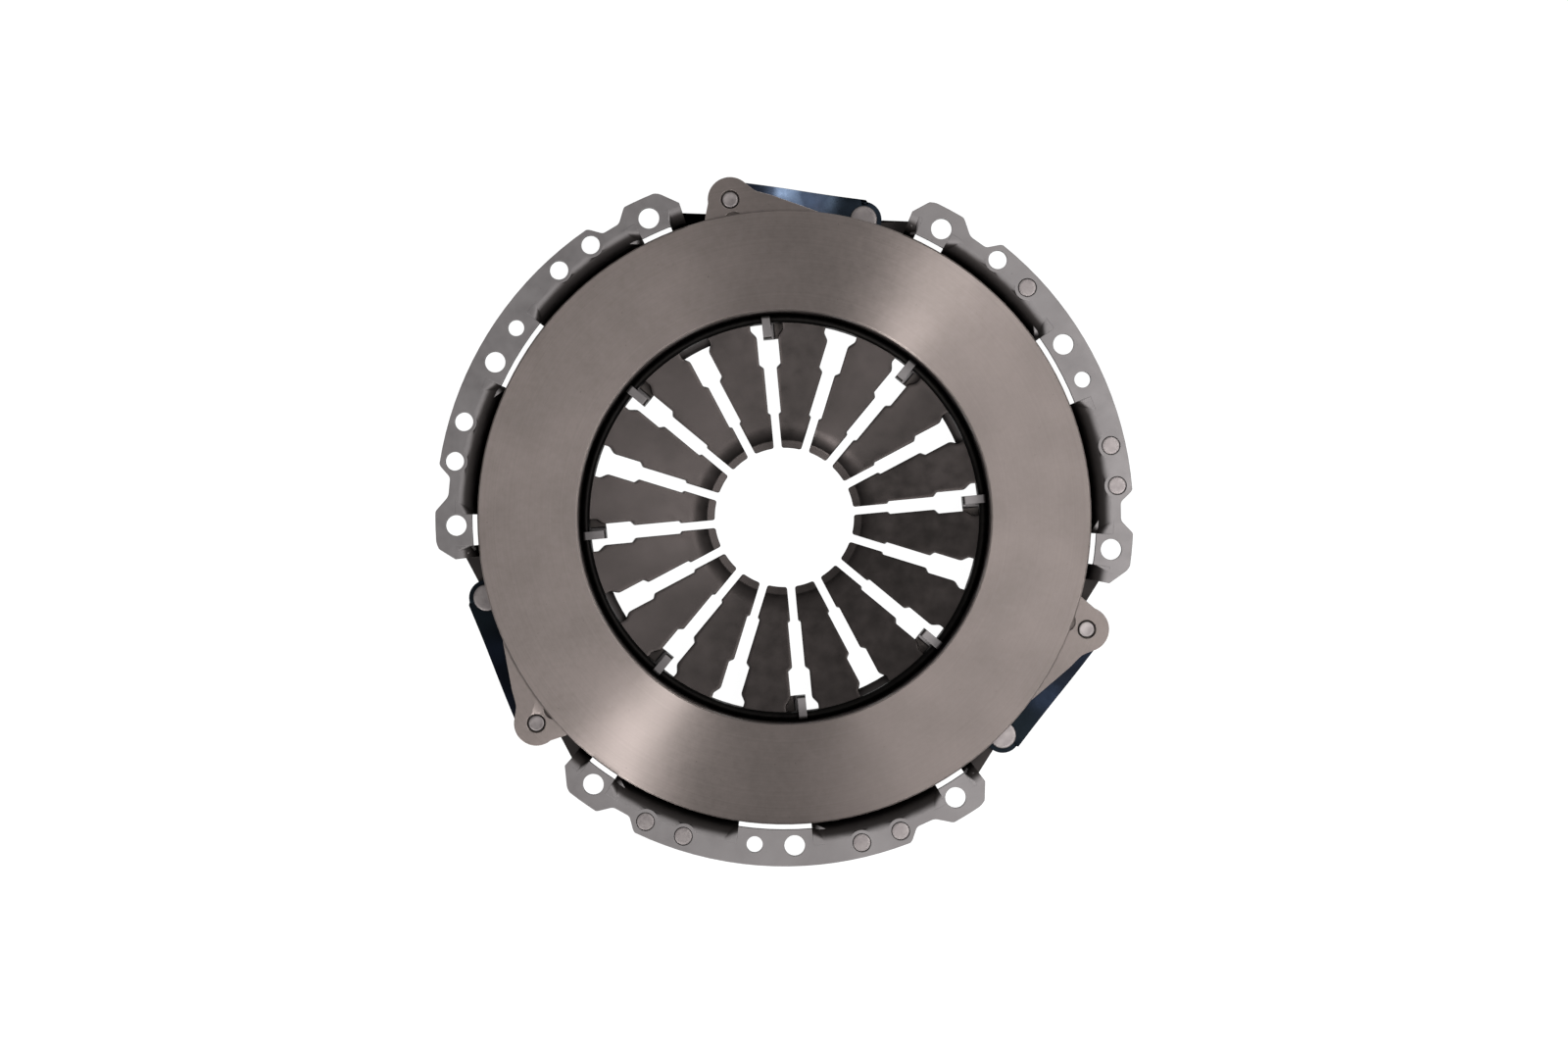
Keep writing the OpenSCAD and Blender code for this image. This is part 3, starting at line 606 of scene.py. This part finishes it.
def merged_copy(name: str, node: str) -> bpy.types.Object:
    """A copy of a CAD node whose loose triangles are joined, ready for finishing.

    Args:
        name: the copy's name.
        node: the CAD node's name.

    Returns:
        The copy.
    """
    mesh = bpy.data.meshes.new(name)
    with editing(mesh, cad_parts[node].data) as work:
        bmesh.ops.remove_doubles(work, verts=work.verts, dist=0.002 * MM)
        bmesh.ops.dissolve_degenerate(work, edges=work.edges, dist=0.001 * MM)
        bmesh.ops.dissolve_limit(work, angle_limit=math.radians(0.3), verts=work.verts, edges=work.edges)
    return placed(name, mesh)


def dress(obj: bpy.types.Object, material: bpy.types.Material) -> None:
    """Give a piece its material."""
    obj.data.materials.clear()
    obj.data.materials.append(material)


def even_normals(obj: bpy.types.Object) -> bpy.types.Object:
    """Weigh the smooth normals by face area, so that long thin triangles leave no blotches."""
    work = obj.modifiers.new("even_normals", "WEIGHTED_NORMAL")
    work.mode, work.weight, work.keep_sharp = "FACE_AREA", 80, True
    return applied(obj)


@dataclass
class CoverShell:
    """The pressed cover, with its flange, windows, pockets and hook tabs.

    Angles are counted from the middle of a flange segment. The knots say where the windows' edges
    lie in the CAD cover and, after that, where they lie on the product.
    """

    name: str = "cover_shell"
    segment_a: float = 27.9
    windows_from_r: float = 110.0
    knots: tuple[tuple[float, float], ...] = (
        (-39.4, -39.4), (-36.5, -36.55), (-35.3, -35.3), (-31.7, -31.7), (-30.5, -30.85), (-28.0, -28.0),
        (-10.0, -10.0), (-6.85, -6.35), (6.85, 7.15), (10.0, 10.0), (28.0, 28.0), (30.5, 31.55),
        (31.7, 31.75), (35.3, 35.3), (36.5, 37.25), (39.4, 39.4),
    )
    tongue_r: float = 124.3
    tongue_new_r: float = 123.8
    sheet: float = 3.4
    corners_from_r: float = 133.6
    corner_round: float = 1.2
    corner_turn: float = 9.0

    def refit(self, obj: bpy.types.Object) -> None:
        """Move the edges of the wall's windows to where the product has them.

        A vertex's angle in its segment is mapped by straight pieces between the knots, and the
        tongues' edge is drawn in to its own radius.

        Args:
            obj: the merged copy of the cover.
        """
        mesh = obj.data
        spots = np.empty(len(mesh.vertices) * 3)
        mesh.vertices.foreach_get("co", spots)
        spots = spots.reshape(-1, 3) / MM
        r, a = np.hypot(spots[:, 0], spots[:, 1]), np.degrees(np.arctan2(spots[:, 1], spots[:, 0]))
        base = np.round((a - self.segment_a) / 120) * 120 + self.segment_a
        turned_a = np.where(r > self.windows_from_r, base + np.interp(a - base, *zip(*self.knots)), a)
        # The tongues' edge is told by its radius and by lying within the flange's thickness
        edge = (np.abs(r - self.tongue_r) < 0.1) & (spots[:, 2] > -self.sheet - 0.05)
        r = np.where(edge, self.tongue_new_r, r)
        t = np.radians(turned_a)
        spots[:, 0], spots[:, 1] = r * np.cos(t), r * np.sin(t)
        mesh.vertices.foreach_set("co", (spots * MM).ravel())
        mesh.update()

    def round_corners(self, obj: bpy.types.Object) -> None:
        """Round the upright edges of the flange's outline, where the plain cover has few facets.

        Args:
            obj: the merged copy of the cover.
        """
        with editing(obj.data) as work:
            corners = []
            for edge in work.edges:
                a, b = (v.co / MM for v in edge.verts)
                upright = math.hypot(a.x - b.x, a.y - b.y) < 0.02 and abs(a.z - b.z) > self.sheet - 0.1
                if upright and max(a.z, b.z) > -0.1 and math.hypot(a.x, a.y) > self.corners_from_r:
                    if edge.calc_face_angle(0.0) > math.radians(self.corner_turn):
                        corners.append(edge)
            bmesh.ops.bevel(
                work, geom=corners, offset=self.corner_round * MM, offset_type="OFFSET", segments=4,
                profile=0.5, affect="EDGES", clamp_overlap=True,
            )

    def build(self) -> bpy.types.Object:
        """Finish a merged copy of the CAD cover.

        Returns:
            The cover.
        """
        obj = merged_copy(self.name, "cover")
        self.refit(obj)
        self.round_corners(obj)
        obj = even_normals(smoothed(obj, 28.0))
        dress(obj, PRESSED_STEEL.material())
        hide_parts("cover")
        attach(obj, Body.COVER.value)
        return obj


@dataclass
class CoverTrim:
    """What the plain CAD cover leaves out: the flat lands beside its windows and the hooks' feet."""

    segment_a: float = 27.9
    bend_r: float = 6.2
    bend_centre_r: float = 130.0
    wall_r: float = 123.8
    lands: tuple[tuple[float, float, float], ...] = (
        (-36.55, -1.2, 1.1), (-30.85, 4.8, 3.0), (-6.35, -4.8, 3.0), (7.15, 4.8, 3.0),
        (31.55, -4.8, 3.0), (37.25, 1.2, 1.1),
    )
    land_t: float = 2.0
    hook_a: float = 5.4
    foot_z: float = -30.6
    foot_t: float = 2.2
    foot_r: tuple[float, float] = (72.0, 79.4)
    foot_y: tuple[float, float] = (-6.9, -1.3)
    foot_round: float = 1.8
    foot_edge: float = 0.3

    def land(self, start_a: float, span_a: float, rounding: float) -> tuple[np.ndarray, np.ndarray]:
        """One land: the flat sheet that narrows from a window's edge to nothing along the bend.

        Its free edge runs straight from the wall's radius at the window to the bend's outer end,
        and is rounded downwards by a quarter circle.

        Args:
            start_a: the angle of the window's edge from the segment's middle.
            span_a: the angle over which the land narrows, negative if it runs clockwise.
            rounding: radius of its rounded edge in millimetres.

        Returns:
            The points and the faces.
        """
        share = np.linspace(0, 1, 9)[:, None]
        edge_r = self.wall_r + (self.bend_centre_r - 0.15 - self.wall_r) * share
        run = math.radians(abs(span_a)) * self.wall_r
        lean = run / math.hypot(run, self.bend_centre_r - self.wall_r)
        u = np.linspace(0, 1, 14)[None, :] ** 2
        r = edge_r + (self.bend_centre_r + 0.5 - edge_r) * u
        gap = np.clip(rounding - (r - edge_r) * lean, 0, rounding)
        z = np.sqrt(rounding**2 - gap**2) - rounding + 0.006
        skirt = np.sqrt(np.maximum(self.bend_r**2 - (self.bend_centre_r - edge_r) ** 2, 0)) - self.bend_r - 0.4
        r, z = np.concatenate([edge_r, r], 1), np.concatenate([np.minimum(skirt, z[:, :1] - 0.05), z], 1)
        a = np.radians(start_a + span_a * share) + 0 * r
        points = np.stack([r * np.cos(a), r * np.sin(a), z], -1).reshape(-1, 3)
        return points, grid_faces(*r.shape)

    def foot(self) -> tuple[np.ndarray, np.ndarray]:
        """One hook's foot: a flat tab beside the stem, with its free corner rounded."""
        x = np.concatenate([
            self.foot_r[0] + self.foot_round * (1 - np.cos(np.linspace(0, np.pi / 2, 7))),
            np.linspace(self.foot_r[0] + self.foot_round + 0.8, self.foot_r[1], 5),
        ])
        gap = np.clip(self.foot_round - (x - self.foot_r[0]), 0, self.foot_round)
        low = self.foot_y[0] + self.foot_round - np.sqrt(self.foot_round**2 - gap**2)
        y = low[:, None] + (self.foot_y[1] - low[:, None]) * np.linspace(0, 1, 7)[None, :]
        points = np.stack([x[:, None] + 0 * y, y, np.full_like(y, self.foot_z)], -1).reshape(-1, 3)
        return points, grid_faces(*y.shape)

    def assembled(self, name: str, parts: list[tuple], thickness: float, bevel: float) -> bpy.types.Object:
        """Join sheets, each turned about the axis, and thicken them downwards.

        Args:
            name: the piece's name.
            parts: points, faces and the angle in degrees by which to turn them, for each sheet.
            thickness: the sheets' thickness in millimetres.
            bevel: width of the rounded edges, or 0 for none.

        Returns:
            The piece.
        """
        sheets = []
        for spots, cells, turn in parts:
            c, s = math.cos(math.radians(turn)), math.sin(math.radians(turn))
            sheets.append((spots @ np.array([[c, s, 0], [-s, c, 0], [0, 0, 1]]), cells))
        obj = thickened(facing_up(piece(name, *joined(sheets))), thickness, bevel, down=True, crease=50.0)
        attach(obj, Body.COVER.value)
        return obj

    def build(self) -> list[bpy.types.Object]:
        """Make the lands of all segments and the feet of all hooks.

        Returns:
            The two pieces.
        """
        lands = [
            (*self.land(*land), self.segment_a + 120 * segment) for segment in range(3) for land in self.lands
        ]
        feet = [(*self.foot(), self.hook_a + 45 * k) for k in range(8)]
        made = [
            self.assembled("window_lands", lands, self.land_t, 0.0),
            self.assembled("hook_feet", feet, self.foot_t, self.foot_edge),
        ]
        for obj, metal in zip(made, (PRESSED_STEEL, SHADED_HOOK_FOOT)):
            dress(obj, metal.material())
        return made


@dataclass
class PlateCasting:
    """The cast iron plate, with its turned face, its lugs and the rough casting behind them."""

    name: str = "plate_casting"
    turned_above: float = -5.0

    def build(self) -> bpy.types.Object:
        """Finish a merged copy of the CAD plate and tell its turned faces from the casting.

        Returns:
            The plate.
        """
        obj = even_normals(smoothed(merged_copy(self.name, "pressure_plate"), 18.0))
        dress(obj, CAST_IRON.material())
        obj.data.materials.append(TURNED_IRON.material())
        count = len(obj.data.polygons)
        normals, centres = np.empty(count * 3), np.empty(count * 3)
        obj.data.polygons.foreach_get("normal", normals)
        obj.data.polygons.foreach_get("center", centres)
        up = (normals.reshape(-1, 3)[:, 2] > 0.6) & (centres.reshape(-1, 3)[:, 2] > self.turned_above * MM)
        obj.data.polygons.foreach_set("material_index", up.astype(int))
        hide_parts("pressure_plate")
        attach(obj, Body.PLATE.value)
        return obj


@dataclass
class DiaphragmSpring:
    """The coned spring with sixteen fingers, stepped slots between them and formed tips."""

    name: str = "diaphragm_fingers"
    thickness: float = 2.6
    outer_r: float = 100.0
    tip_r: float = 28.1
    cone_a: float = 12.5
    crest_z: float = -18.0
    crest_r: float = 97.0
    crest_gap: float = 3.75
    bend_r: float = 15.0
    bend_a: float = 43.0
    crease_r: float = 1.0
    lip_l: float = 3.0
    lip_a: float = 12.0
    fingers: int = 16
    first_slot_a: float = 5.4
    slot_end: float = 81.4
    tip_corner: float = 1.0
    half_widths: tuple[float, ...] = (1.6, 2.55, 4.25, 6.5)
    steps: tuple[tuple[float, float], ...] = ((41.4, 42.4), (60.0, 62.0), (72.3, 76.0))
    end_corner: float = 1.6
    edge_round: float = 0.3

    def cone_z(self, r: np.ndarray) -> np.ndarray:
        """Height of the cone's upper face: a straight line in r that clears the plate's ridge."""
        slope = math.radians(self.cone_a)
        return self.crest_z + (r - self.crest_r) * math.tan(slope) - self.crest_gap / math.cos(slope)

    def top_z(self, r: np.ndarray) -> np.ndarray:
        """Height of the upper face at radius r: the cone, a downward bend, a crease and a flat lip.

        Args:
            r: radii in millimetres.

        Returns:
            Heights in millimetres.
        """
        s0, s1, s2 = (math.sin(math.radians(a)) for a in (self.cone_a, self.bend_a, self.lip_a))
        c0, c1, c2 = (math.cos(math.radians(a)) for a in (self.cone_a, self.bend_a, self.lip_a))
        bend_end = self.tip_r + self.lip_l * c2 + self.crease_r * (s1 - s2)
        cone_end = bend_end + self.bend_r * (s1 - s0)
        bend = np.array([cone_end + self.bend_r * s0, float(self.cone_z(cone_end)) - self.bend_r * c0])
        crease = bend + (self.bend_r + self.crease_r) * np.array([-s1, c1])
        lip = crease + self.crease_r * np.array([s2, -c2])
        bent = bend[1] + np.sqrt(np.maximum(self.bend_r**2 - (r - bend[0]) ** 2, 0))
        creased = crease[1] - np.sqrt(np.maximum(self.crease_r**2 - (r - crease[0]) ** 2, 0))
        flat = lip[1] + (r - lip[0]) * s2 / c2
        return np.select([r >= cone_end, r >= bend_end, r >= lip[0]], [self.cone_z(r), bent, creased], flat)

    def slot_half(self, x: np.ndarray) -> np.ndarray:
        """Half a slot's width at distance x along it: constant widths joined by smooth steps.

        The tips' corners and the slot's outer corners are rounded by quarter circles.

        Args:
            x: distances from the axis in millimetres.

        Returns:
            Half widths in millimetres.
        """
        half = np.full_like(x, self.half_widths[0])
        for (a, b), w0, w1 in zip(self.steps, self.half_widths[:-1], self.half_widths[1:]):
            t = np.clip((x - a) / (b - a), 0, 1)
            half += (w1 - w0) * t * t * (3 - 2 * t)
        near = np.clip(self.tip_corner - (x - self.tip_r), 0, self.tip_corner)
        half += self.tip_corner - np.sqrt(self.tip_corner**2 - near**2)
        far = np.clip(self.end_corner - (self.slot_end - x), 0, self.end_corner)
        return half - (self.end_corner - np.sqrt(self.end_corner**2 - far**2))

    def build(self) -> bpy.types.Object:
        """Make the fingers and the outer ring as one sheet, thicken it and round its edges.

        A finger's row lies at one radius between its two slots: the angle of its side is half the
        pitch less the angle that the slot's half width takes up there.

        Returns:
            The spring.
        """
        half_pitch = math.pi / self.fingers
        # Rows lie closer together where the tip bends and where the slots step
        x = np.unique(np.concatenate([
            self.tip_r + self.tip_corner * (1 - np.cos(np.linspace(0, np.pi / 2, 6))),
            np.linspace(self.tip_r + self.tip_corner, 30.8, 4), np.linspace(30.95, 31.6, 8),
            np.linspace(31.9, 38.6, 14), np.linspace(39.2, 41.2, 3),
            *[np.linspace(a, b, 7) for a, b in self.steps],
            np.linspace(43.5, 59, 7), np.linspace(63, 71.5, 5),
            self.slot_end - self.end_corner * (1 - np.cos(np.linspace(np.pi / 2, 0, 7))),
        ]).round(4))
        half = self.slot_half(x)
        r = np.hypot(x, half)
        side = half_pitch - np.arctan2(half, x)
        across = np.linspace(-1, 1, 13)
        ring_r = np.concatenate([[0], np.linspace(0.08, 1, 12)])
        inner_a = np.concatenate([
            np.linspace(-half_pitch, -side[-1], 5)[:-1], side[-1] * across,
            np.linspace(side[-1], half_pitch, 5)[1:],
        ])
        edge_r = np.where(
            np.abs(inner_a) > side[-1] + 1e-9, self.slot_end / np.cos(half_pitch - np.abs(inner_a)), r[-1]
        )
        even_a = np.linspace(-half_pitch, half_pitch, len(inner_a))
        sheets = []
        for k in range(self.fingers):
            middle = math.radians(self.first_slot_a) + half_pitch * (2 * k + 1)
            finger = (np.repeat(r[:, None], len(across), 1), middle + side[:, None] * across)
            fade = ring_r[:, None]
            ring = (edge_r * (1 - fade) + self.outer_r * fade, middle + inner_a * (1 - fade) + even_a * fade)
            for rr, aa in (finger, ring):
                spots = np.stack([rr * np.cos(aa), rr * np.sin(aa), self.top_z(rr)], -1).reshape(-1, 3)
                sheets.append((spots, grid_faces(*rr.shape)[:, ::-1]))
        obj = piece(self.name, *joined(sheets), weld=2e-3)
        obj = thickened(obj, self.thickness, self.edge_round, even=True)
        dress(obj, PEENED_SPRING.material())
        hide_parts("diaphragm_spring")
        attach(obj, Body.COVER.value)
        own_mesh(obj)
        return obj


@dataclass
class FulcrumRing:
    """The wire ring under the hook tabs that the spring tilts on."""

    name: str = "fulcrum_wire_ring"
    ring_r: float = 80.09
    ring_z: float = -23.64
    wire_r: float = 1.85

    def build(self) -> bpy.types.Object:
        """Carry the wire's circle round the axis: a torus.

        Returns:
            The ring.
        """
        section = arc((self.ring_r, self.ring_z), self.wire_r, 0, 360, 25)
        obj = turned(self.name, section, np.zeros(2), columns=180)
        dress(obj, BLACK_WIRE.material())
        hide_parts("support_ring")
        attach(obj, Body.COVER.value)
        return obj


@dataclass
class DriveStraps:
    """Three packs of three leaves that carry the plate and let it move along the axis."""

    count: int = 3
    leaves: int = 3
    cover_r: float = 123.5
    cover_a: float = 75.1
    lug_r: float = 128.1
    lug_a: float = 99.7
    width: float = 15.8
    end_r: float = 7.2
    hole_r: float = 3.4
    thickness: float = 0.8
    gap: float = 0.04
    shelf_z: float = -21.52
    rise: float = 7.0
    flat: float = 9.0
    edge_round: float = 0.1

    def ends(self, strap: int) -> tuple[np.ndarray, np.ndarray]:
        """The centres of a strap's two rivets, in the cover and in the lug.

        Args:
            strap: the strap's number, from 1.

        Returns:
            The two points as x and y in millimetres.
        """
        turn = 120 * (strap - 1)
        return tuple(
            r * np.array([math.cos(math.radians(a + turn)), math.sin(math.radians(a + turn))])
            for r, a in ((self.cover_r, self.cover_a), (self.lug_r, self.lug_a))
        )

    def end_patch(self, outline: np.ndarray, centre: np.ndarray) -> tuple[np.ndarray, np.ndarray]:
        """The sheet between a closed outline and the rivet's hole.

        Each outline point is joined to the hole's point in the same direction by a straight line.

        Args:
            outline: the outline's points in the leaf's plane.
            centre: the hole's centre there.

        Returns:
            The points and the faces.
        """
        away = outline - centre
        hole = centre + self.hole_r * away / np.linalg.norm(away, axis=1, keepdims=True)
        share = np.linspace(0, 1, 5)[:, None, None]
        rows = outline * (1 - share) + hole * share
        return rows.reshape(-1, 2), grid_faces(len(share), len(outline), around=True)

    def flat_leaf(self, length: float) -> tuple[np.ndarray, np.ndarray]:
        """A leaf laid out flat, with its cover rivet at the origin and the lug's on +X.

        Args:
            length: the distance between the rivets in millimetres.

        Returns:
            The points and the faces.
        """
        w = self.width / 2
        y = np.linspace(-w, w, 13)
        side = np.linspace(0, self.flat, 5)
        joint = np.stack([np.full_like(y, self.flat), y], -1)
        cover_end = np.concatenate([
            joint[:-1], np.stack([side[:0:-1], np.full(4, w)], -1), [[0, w]],
            arc((0, 0), self.end_r, 90, 270, 19), [[0, -w]], np.stack([side[1:-1], np.full(3, -w)], -1),
        ])
        far = length - self.flat
        lug_end = np.concatenate([
            np.stack([np.full(12, far), y[:0:-1]], -1), np.stack([far + side[:-1], np.full(4, -w)], -1),
            arc((length, 0), w, -90, 90, 23)[:-1], np.stack([length - side[:-1], np.full(4, w)], -1),
        ])
        x = np.linspace(self.flat, far, 25)
        middle = np.stack(np.meshgrid(x, y, indexing="ij"), -1).reshape(-1, 2)
        return joined((
            self.end_patch(cover_end, np.zeros(2)), (middle, grid_faces(len(x), len(y))),
            self.end_patch(lug_end, np.array([length, 0.0])),
        ))

    def build(self) -> list[bpy.types.Object]:
        """Bend each leaf up from the shelf to the lug, in a smooth rise between its rivets.

        The rise follows the smooth step 3t^2 - 2t^3 between the two clamped ends.

        Returns:
            The leaves.
        """
        # Painted light and shade: the first pack gets the lit copy of the blue strip, the other two the shaded copy
        pale, dark = LIT_BLUED_STRIP.material(), SHADED_BLUED_STRIP.material()
        made = []
        for strap in range(1, self.count + 1):
            start, end = self.ends(strap)
            along = (end - start) / np.linalg.norm(end - start)
            square = np.array([-along[1], along[0]])
            length = float(np.linalg.norm(end - start))
            flat, faces = self.flat_leaf(length)
            t = np.clip((flat[:, 0] - self.flat) / (length - 2 * self.flat), 0, 1)
            level = self.rise * t * t * (3 - 2 * t)
            for leaf in range(1, self.leaves + 1):
                z = self.shelf_z + self.gap + (self.leaves - leaf) * (self.thickness + self.gap) + level
                xy = start + flat[:, :1] * along + flat[:, 1:] * square
                obj = piece(f"strap_{strap}_blue_leaf_{leaf}", np.column_stack([xy, z]), faces, weld=1e-3)
                obj = thickened(facing_up(obj), self.thickness, self.edge_round)
                dress(obj, pale if strap == 1 else dark)
                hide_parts(f"strap_{strap}_leaf_{leaf}")
                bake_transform(obj)
                made.append(obj)
        return made


@dataclass
class Rivets:
    """The lug, strap and balance rivets, each a turned body with its formed ends.

    A head is given by its radius and height. The filled holes are given by their flange segment
    and their angle from its middle.
    """

    lug_face_z: float = -4.5
    lug_back_z: float = -14.52
    strap_top_z: float = -18.96
    shelf_low_z: float = -24.92
    sheet: float = 3.4
    balance_r: float = 132.5
    lug_head: tuple[float, float] = (5.7, 3.0)
    strap_head: tuple[float, float] = (5.2, 2.6)
    balance_head: tuple[float, float] = (4.7, 3.0)
    shank_r: float = 3.3
    balance_shank_r: float = 3.48
    segment_a: float = 27.9
    straps: DriveStraps = field(default_factory=DriveStraps)
    filled: tuple[tuple[int, float], ...] = (
        (0, 15.5), (0, -15.5), (0, -22.45), (2, 15.5), (2, -15.5), (2, 22.45), (2, -22.45),
    )

    def cap(self, radius: float, height: float, z: float) -> np.ndarray:
        """A rounded head below z, from its pole to its rim: part of a circle through both."""
        ball = (radius**2 + height**2) / (2 * height)
        a = math.degrees(math.asin(min(1.0, radius / ball)))
        return arc((0, z - height + ball), ball, -90, -90 + a, 9)

    def lug_profile(self) -> np.ndarray:
        """Profile of a lug rivet: a head behind the strap, a shank, and a spun end with a dimple."""
        top = self.lug_face_z - 0.3
        return np.concatenate([
            self.cap(*self.lug_head, self.lug_back_z), [[self.shank_r, self.lug_back_z + 0.02]],
            arc((self.shank_r - 0.7, top - 0.7), 0.7, 0, 90, 6), [[2.1, top - 0.02], [1.5, top - 0.1], [0, top - 0.12]],
        ])

    def strap_profile(self) -> np.ndarray:
        """Profile of a strap rivet: a rounded head under the shelf and a flat one over the leaves."""
        top = self.strap_top_z + 1.4
        return np.concatenate([
            self.cap(*self.strap_head, self.shelf_low_z),
            [[self.shank_r, self.shelf_low_z + 0.02], [self.shank_r, self.strap_top_z]],
            [[self.strap_head[0], self.strap_top_z]], arc((4.95, self.strap_top_z + 0.3), 0.4, -30, 0, 3),
            arc((4.95, top - 0.4), 0.4, 0, 90, 5), [[4.0, top], [0, top - 0.05]],
        ])

    def balance_profile(self) -> np.ndarray:
        """Profile of a balance rivet: a head behind the flange and a flat end flush with its face."""
        return np.concatenate([
            self.cap(*self.balance_head, -self.sheet), [[self.balance_shank_r, -self.sheet + 0.02]],
            arc((self.balance_shank_r - 0.18, -0.28), 0.18, 0, 90, 4), [[2.4, -0.1], [0, -0.1]],
        ])

    def build(self) -> list[bpy.types.Object]:
        """Turn each rivet about its own axis.

        Returns:
            The rivets.
        """
        material = HEADED_RIVET.material()
        rows = []
        for i in range(1, self.straps.count + 1):
            cover_point, lug_point = self.straps.ends(i)
            rows.append((f"lug_rivet_{i}", self.lug_profile(), lug_point, Body.PLATE))
            rows.append((f"strap_rivet_{i}", self.strap_profile(), cover_point, Body.COVER))
        for i, (segment, offset) in enumerate(self.filled, 1):
            a = math.radians(self.segment_a + 120 * segment + offset)
            spot = self.balance_r * np.array([math.cos(a), math.sin(a)])
            rows.append((f"balance_rivet_{i}", self.balance_profile(), spot, Body.COVER))
        rivets = []
        for node, profile, spot, body in rows:
            obj = turned(f"{node}_headed", profile, spot)
            dress(obj, material)
            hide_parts(node)
            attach(obj, body.value)
            rivets.append(obj)
        return rivets


@dataclass(frozen=True)
class Softbox:
    """A rectangular lamp that looks at the part, placed by direction."""

    name: str
    azimuth: float
    zenith: float
    distance: float
    width: float
    height: float
    radiance: float

    def build(self) -> None:
        """Place the lamp; its power is its radiance times pi times its area."""
        data = bpy.data.lights.new(self.name, "AREA")
        data.shape, data.size, data.size_y = "RECTANGLE", self.width, self.height
        data.energy = self.radiance * math.pi * self.width * self.height
        lamp = placed(self.name, data)
        a, t = math.radians(self.azimuth), math.radians(self.zenith)
        away = Vector((math.sin(t) * math.cos(a), math.sin(t) * math.sin(a), math.cos(t)))
        lamp.location = away * self.distance
        lamp.rotation_euler = away.to_track_quat("Z", "Y").to_euler()
        lamp.visible_camera = False


@dataclass
class Studio:
    """The floor, the world, the lamps and the camera."""

    floor_z: float = -42.4
    field_mm: float = 621.2
    camera_height: float = 1600.0
    camera_x: float = -0.15
    camera_y: float = -2.25
    floor_half: float = 3000.0
    board_glow: float = 1.12
    glow_share: float = 0.88
    world_light: float = 0.27
    lamps: tuple[Softbox, ...] = (
        Softbox("key_strip", 235.9, 39.0, 2.0, 0.215, 0.92, 41.0),
        Softbox("right_softbox", 15.0, 28.0, 0.55, 0.33, 0.15, 10.8),
        Softbox("low_softbox", -45.0, 28.0, 0.55, 0.27, 0.15, 9.7),
    )

    def seen(self, tree: bpy.types.NodeTree) -> bpy.types.NodeSocket:
        """1 for the rays that show the surround: straight, mirrored or through glass."""
        path = add(tree, "ShaderNodeLightPath").outputs
        share = path["Is Camera Ray"]
        for other in ("Is Glossy Ray", "Is Transmission Ray"):
            share = add(tree, "ShaderNodeMath", {0: share, 1: path[other]}, operation="MAXIMUM").outputs[0]
        return share

    def world(self) -> None:
        """A white surround: full strength where it is seen or mirrored, less where it only lights."""
        world = bpy.data.worlds.new("white_surround")
        bpy.context.scene.world = world
        world.use_nodes = True
        tree = world.node_tree
        tree.nodes.clear()
        strength = add(tree, "ShaderNodeMapRange", {"Value": self.seen(tree), "To Min": self.world_light})
        light = add(
            tree, "ShaderNodeBackground", {"Color": linear("#ffffff"), "Strength": strength.outputs["Result"]}
        )
        out = add(tree, "ShaderNodeOutputWorld")
        tree.links.new(light.outputs[0], out.inputs["Surface"])

    def floor(self) -> None:
        """A pale floor that looks white but keeps a faint shadow of the part."""
        corners = self.floor_half * np.array([[-1, -1], [1, -1], [1, 1], [-1, 1]])
        points = np.column_stack([corners, np.full(4, self.floor_z)])
        floor = piece("pale_floor", points, np.array([[0, 1, 2, 3]]))
        material = bpy.data.materials.new("matt_white_board")
        material.use_nodes = True
        tree = material.node_tree
        tree.nodes.clear()
        share = add(tree, "ShaderNodeMath", {0: self.seen(tree), 1: self.glow_share}, operation="MULTIPLY")
        board = add(tree, "ShaderNodeBsdfDiffuse", {"Color": linear("#f2f2f2")})
        glow = add(tree, "ShaderNodeEmission", {"Color": linear("#ffffff"), "Strength": self.board_glow})
        mix = add(tree, "ShaderNodeMixShader", {0: share.outputs[0], 1: board.outputs[0], 2: glow.outputs[0]})
        out = add(tree, "ShaderNodeOutputMaterial")
        tree.links.new(mix.outputs[0], out.inputs["Surface"])
        floor.data.materials.append(material)

    def camera(self) -> None:
        """Look straight down, so far away that the field of view is field_mm wide at z = 0."""
        data = bpy.data.cameras.new("studio_camera")
        data.sensor_width = 36.0
        data.lens = data.sensor_width * self.camera_height / self.field_mm
        data.clip_start, data.clip_end = 0.05, 20.0
        camera = placed("studio_camera", data)
        camera.location = Vector((self.camera_x, self.camera_y, self.camera_height)) * MM
        bpy.context.scene.camera = camera

    def build(self) -> None:
        """Set up the whole studio."""
        bpy.context.scene.view_settings.view_transform = "Standard"
        self.world()
        self.floor()
        self.camera()
        for lamp in self.lamps:
            lamp.build()


def main() -> None:
    """Build the studio and the sub-assemblies in order and log each piece."""
    logging.basicConfig(level=logging.INFO, format="%(name)s: %(message)s")
    Studio().build()
    for assembly in (CoverShell, CoverTrim, PlateCasting, DiaphragmSpring, FulcrumRing, DriveStraps, Rivets):
        made = assembly().build()
        for obj in made if isinstance(made, list) else [made]:
            LOG.info("%s: %d faces", obj.name, len(obj.data.polygons))


if __name__ == "__main__":
    main()
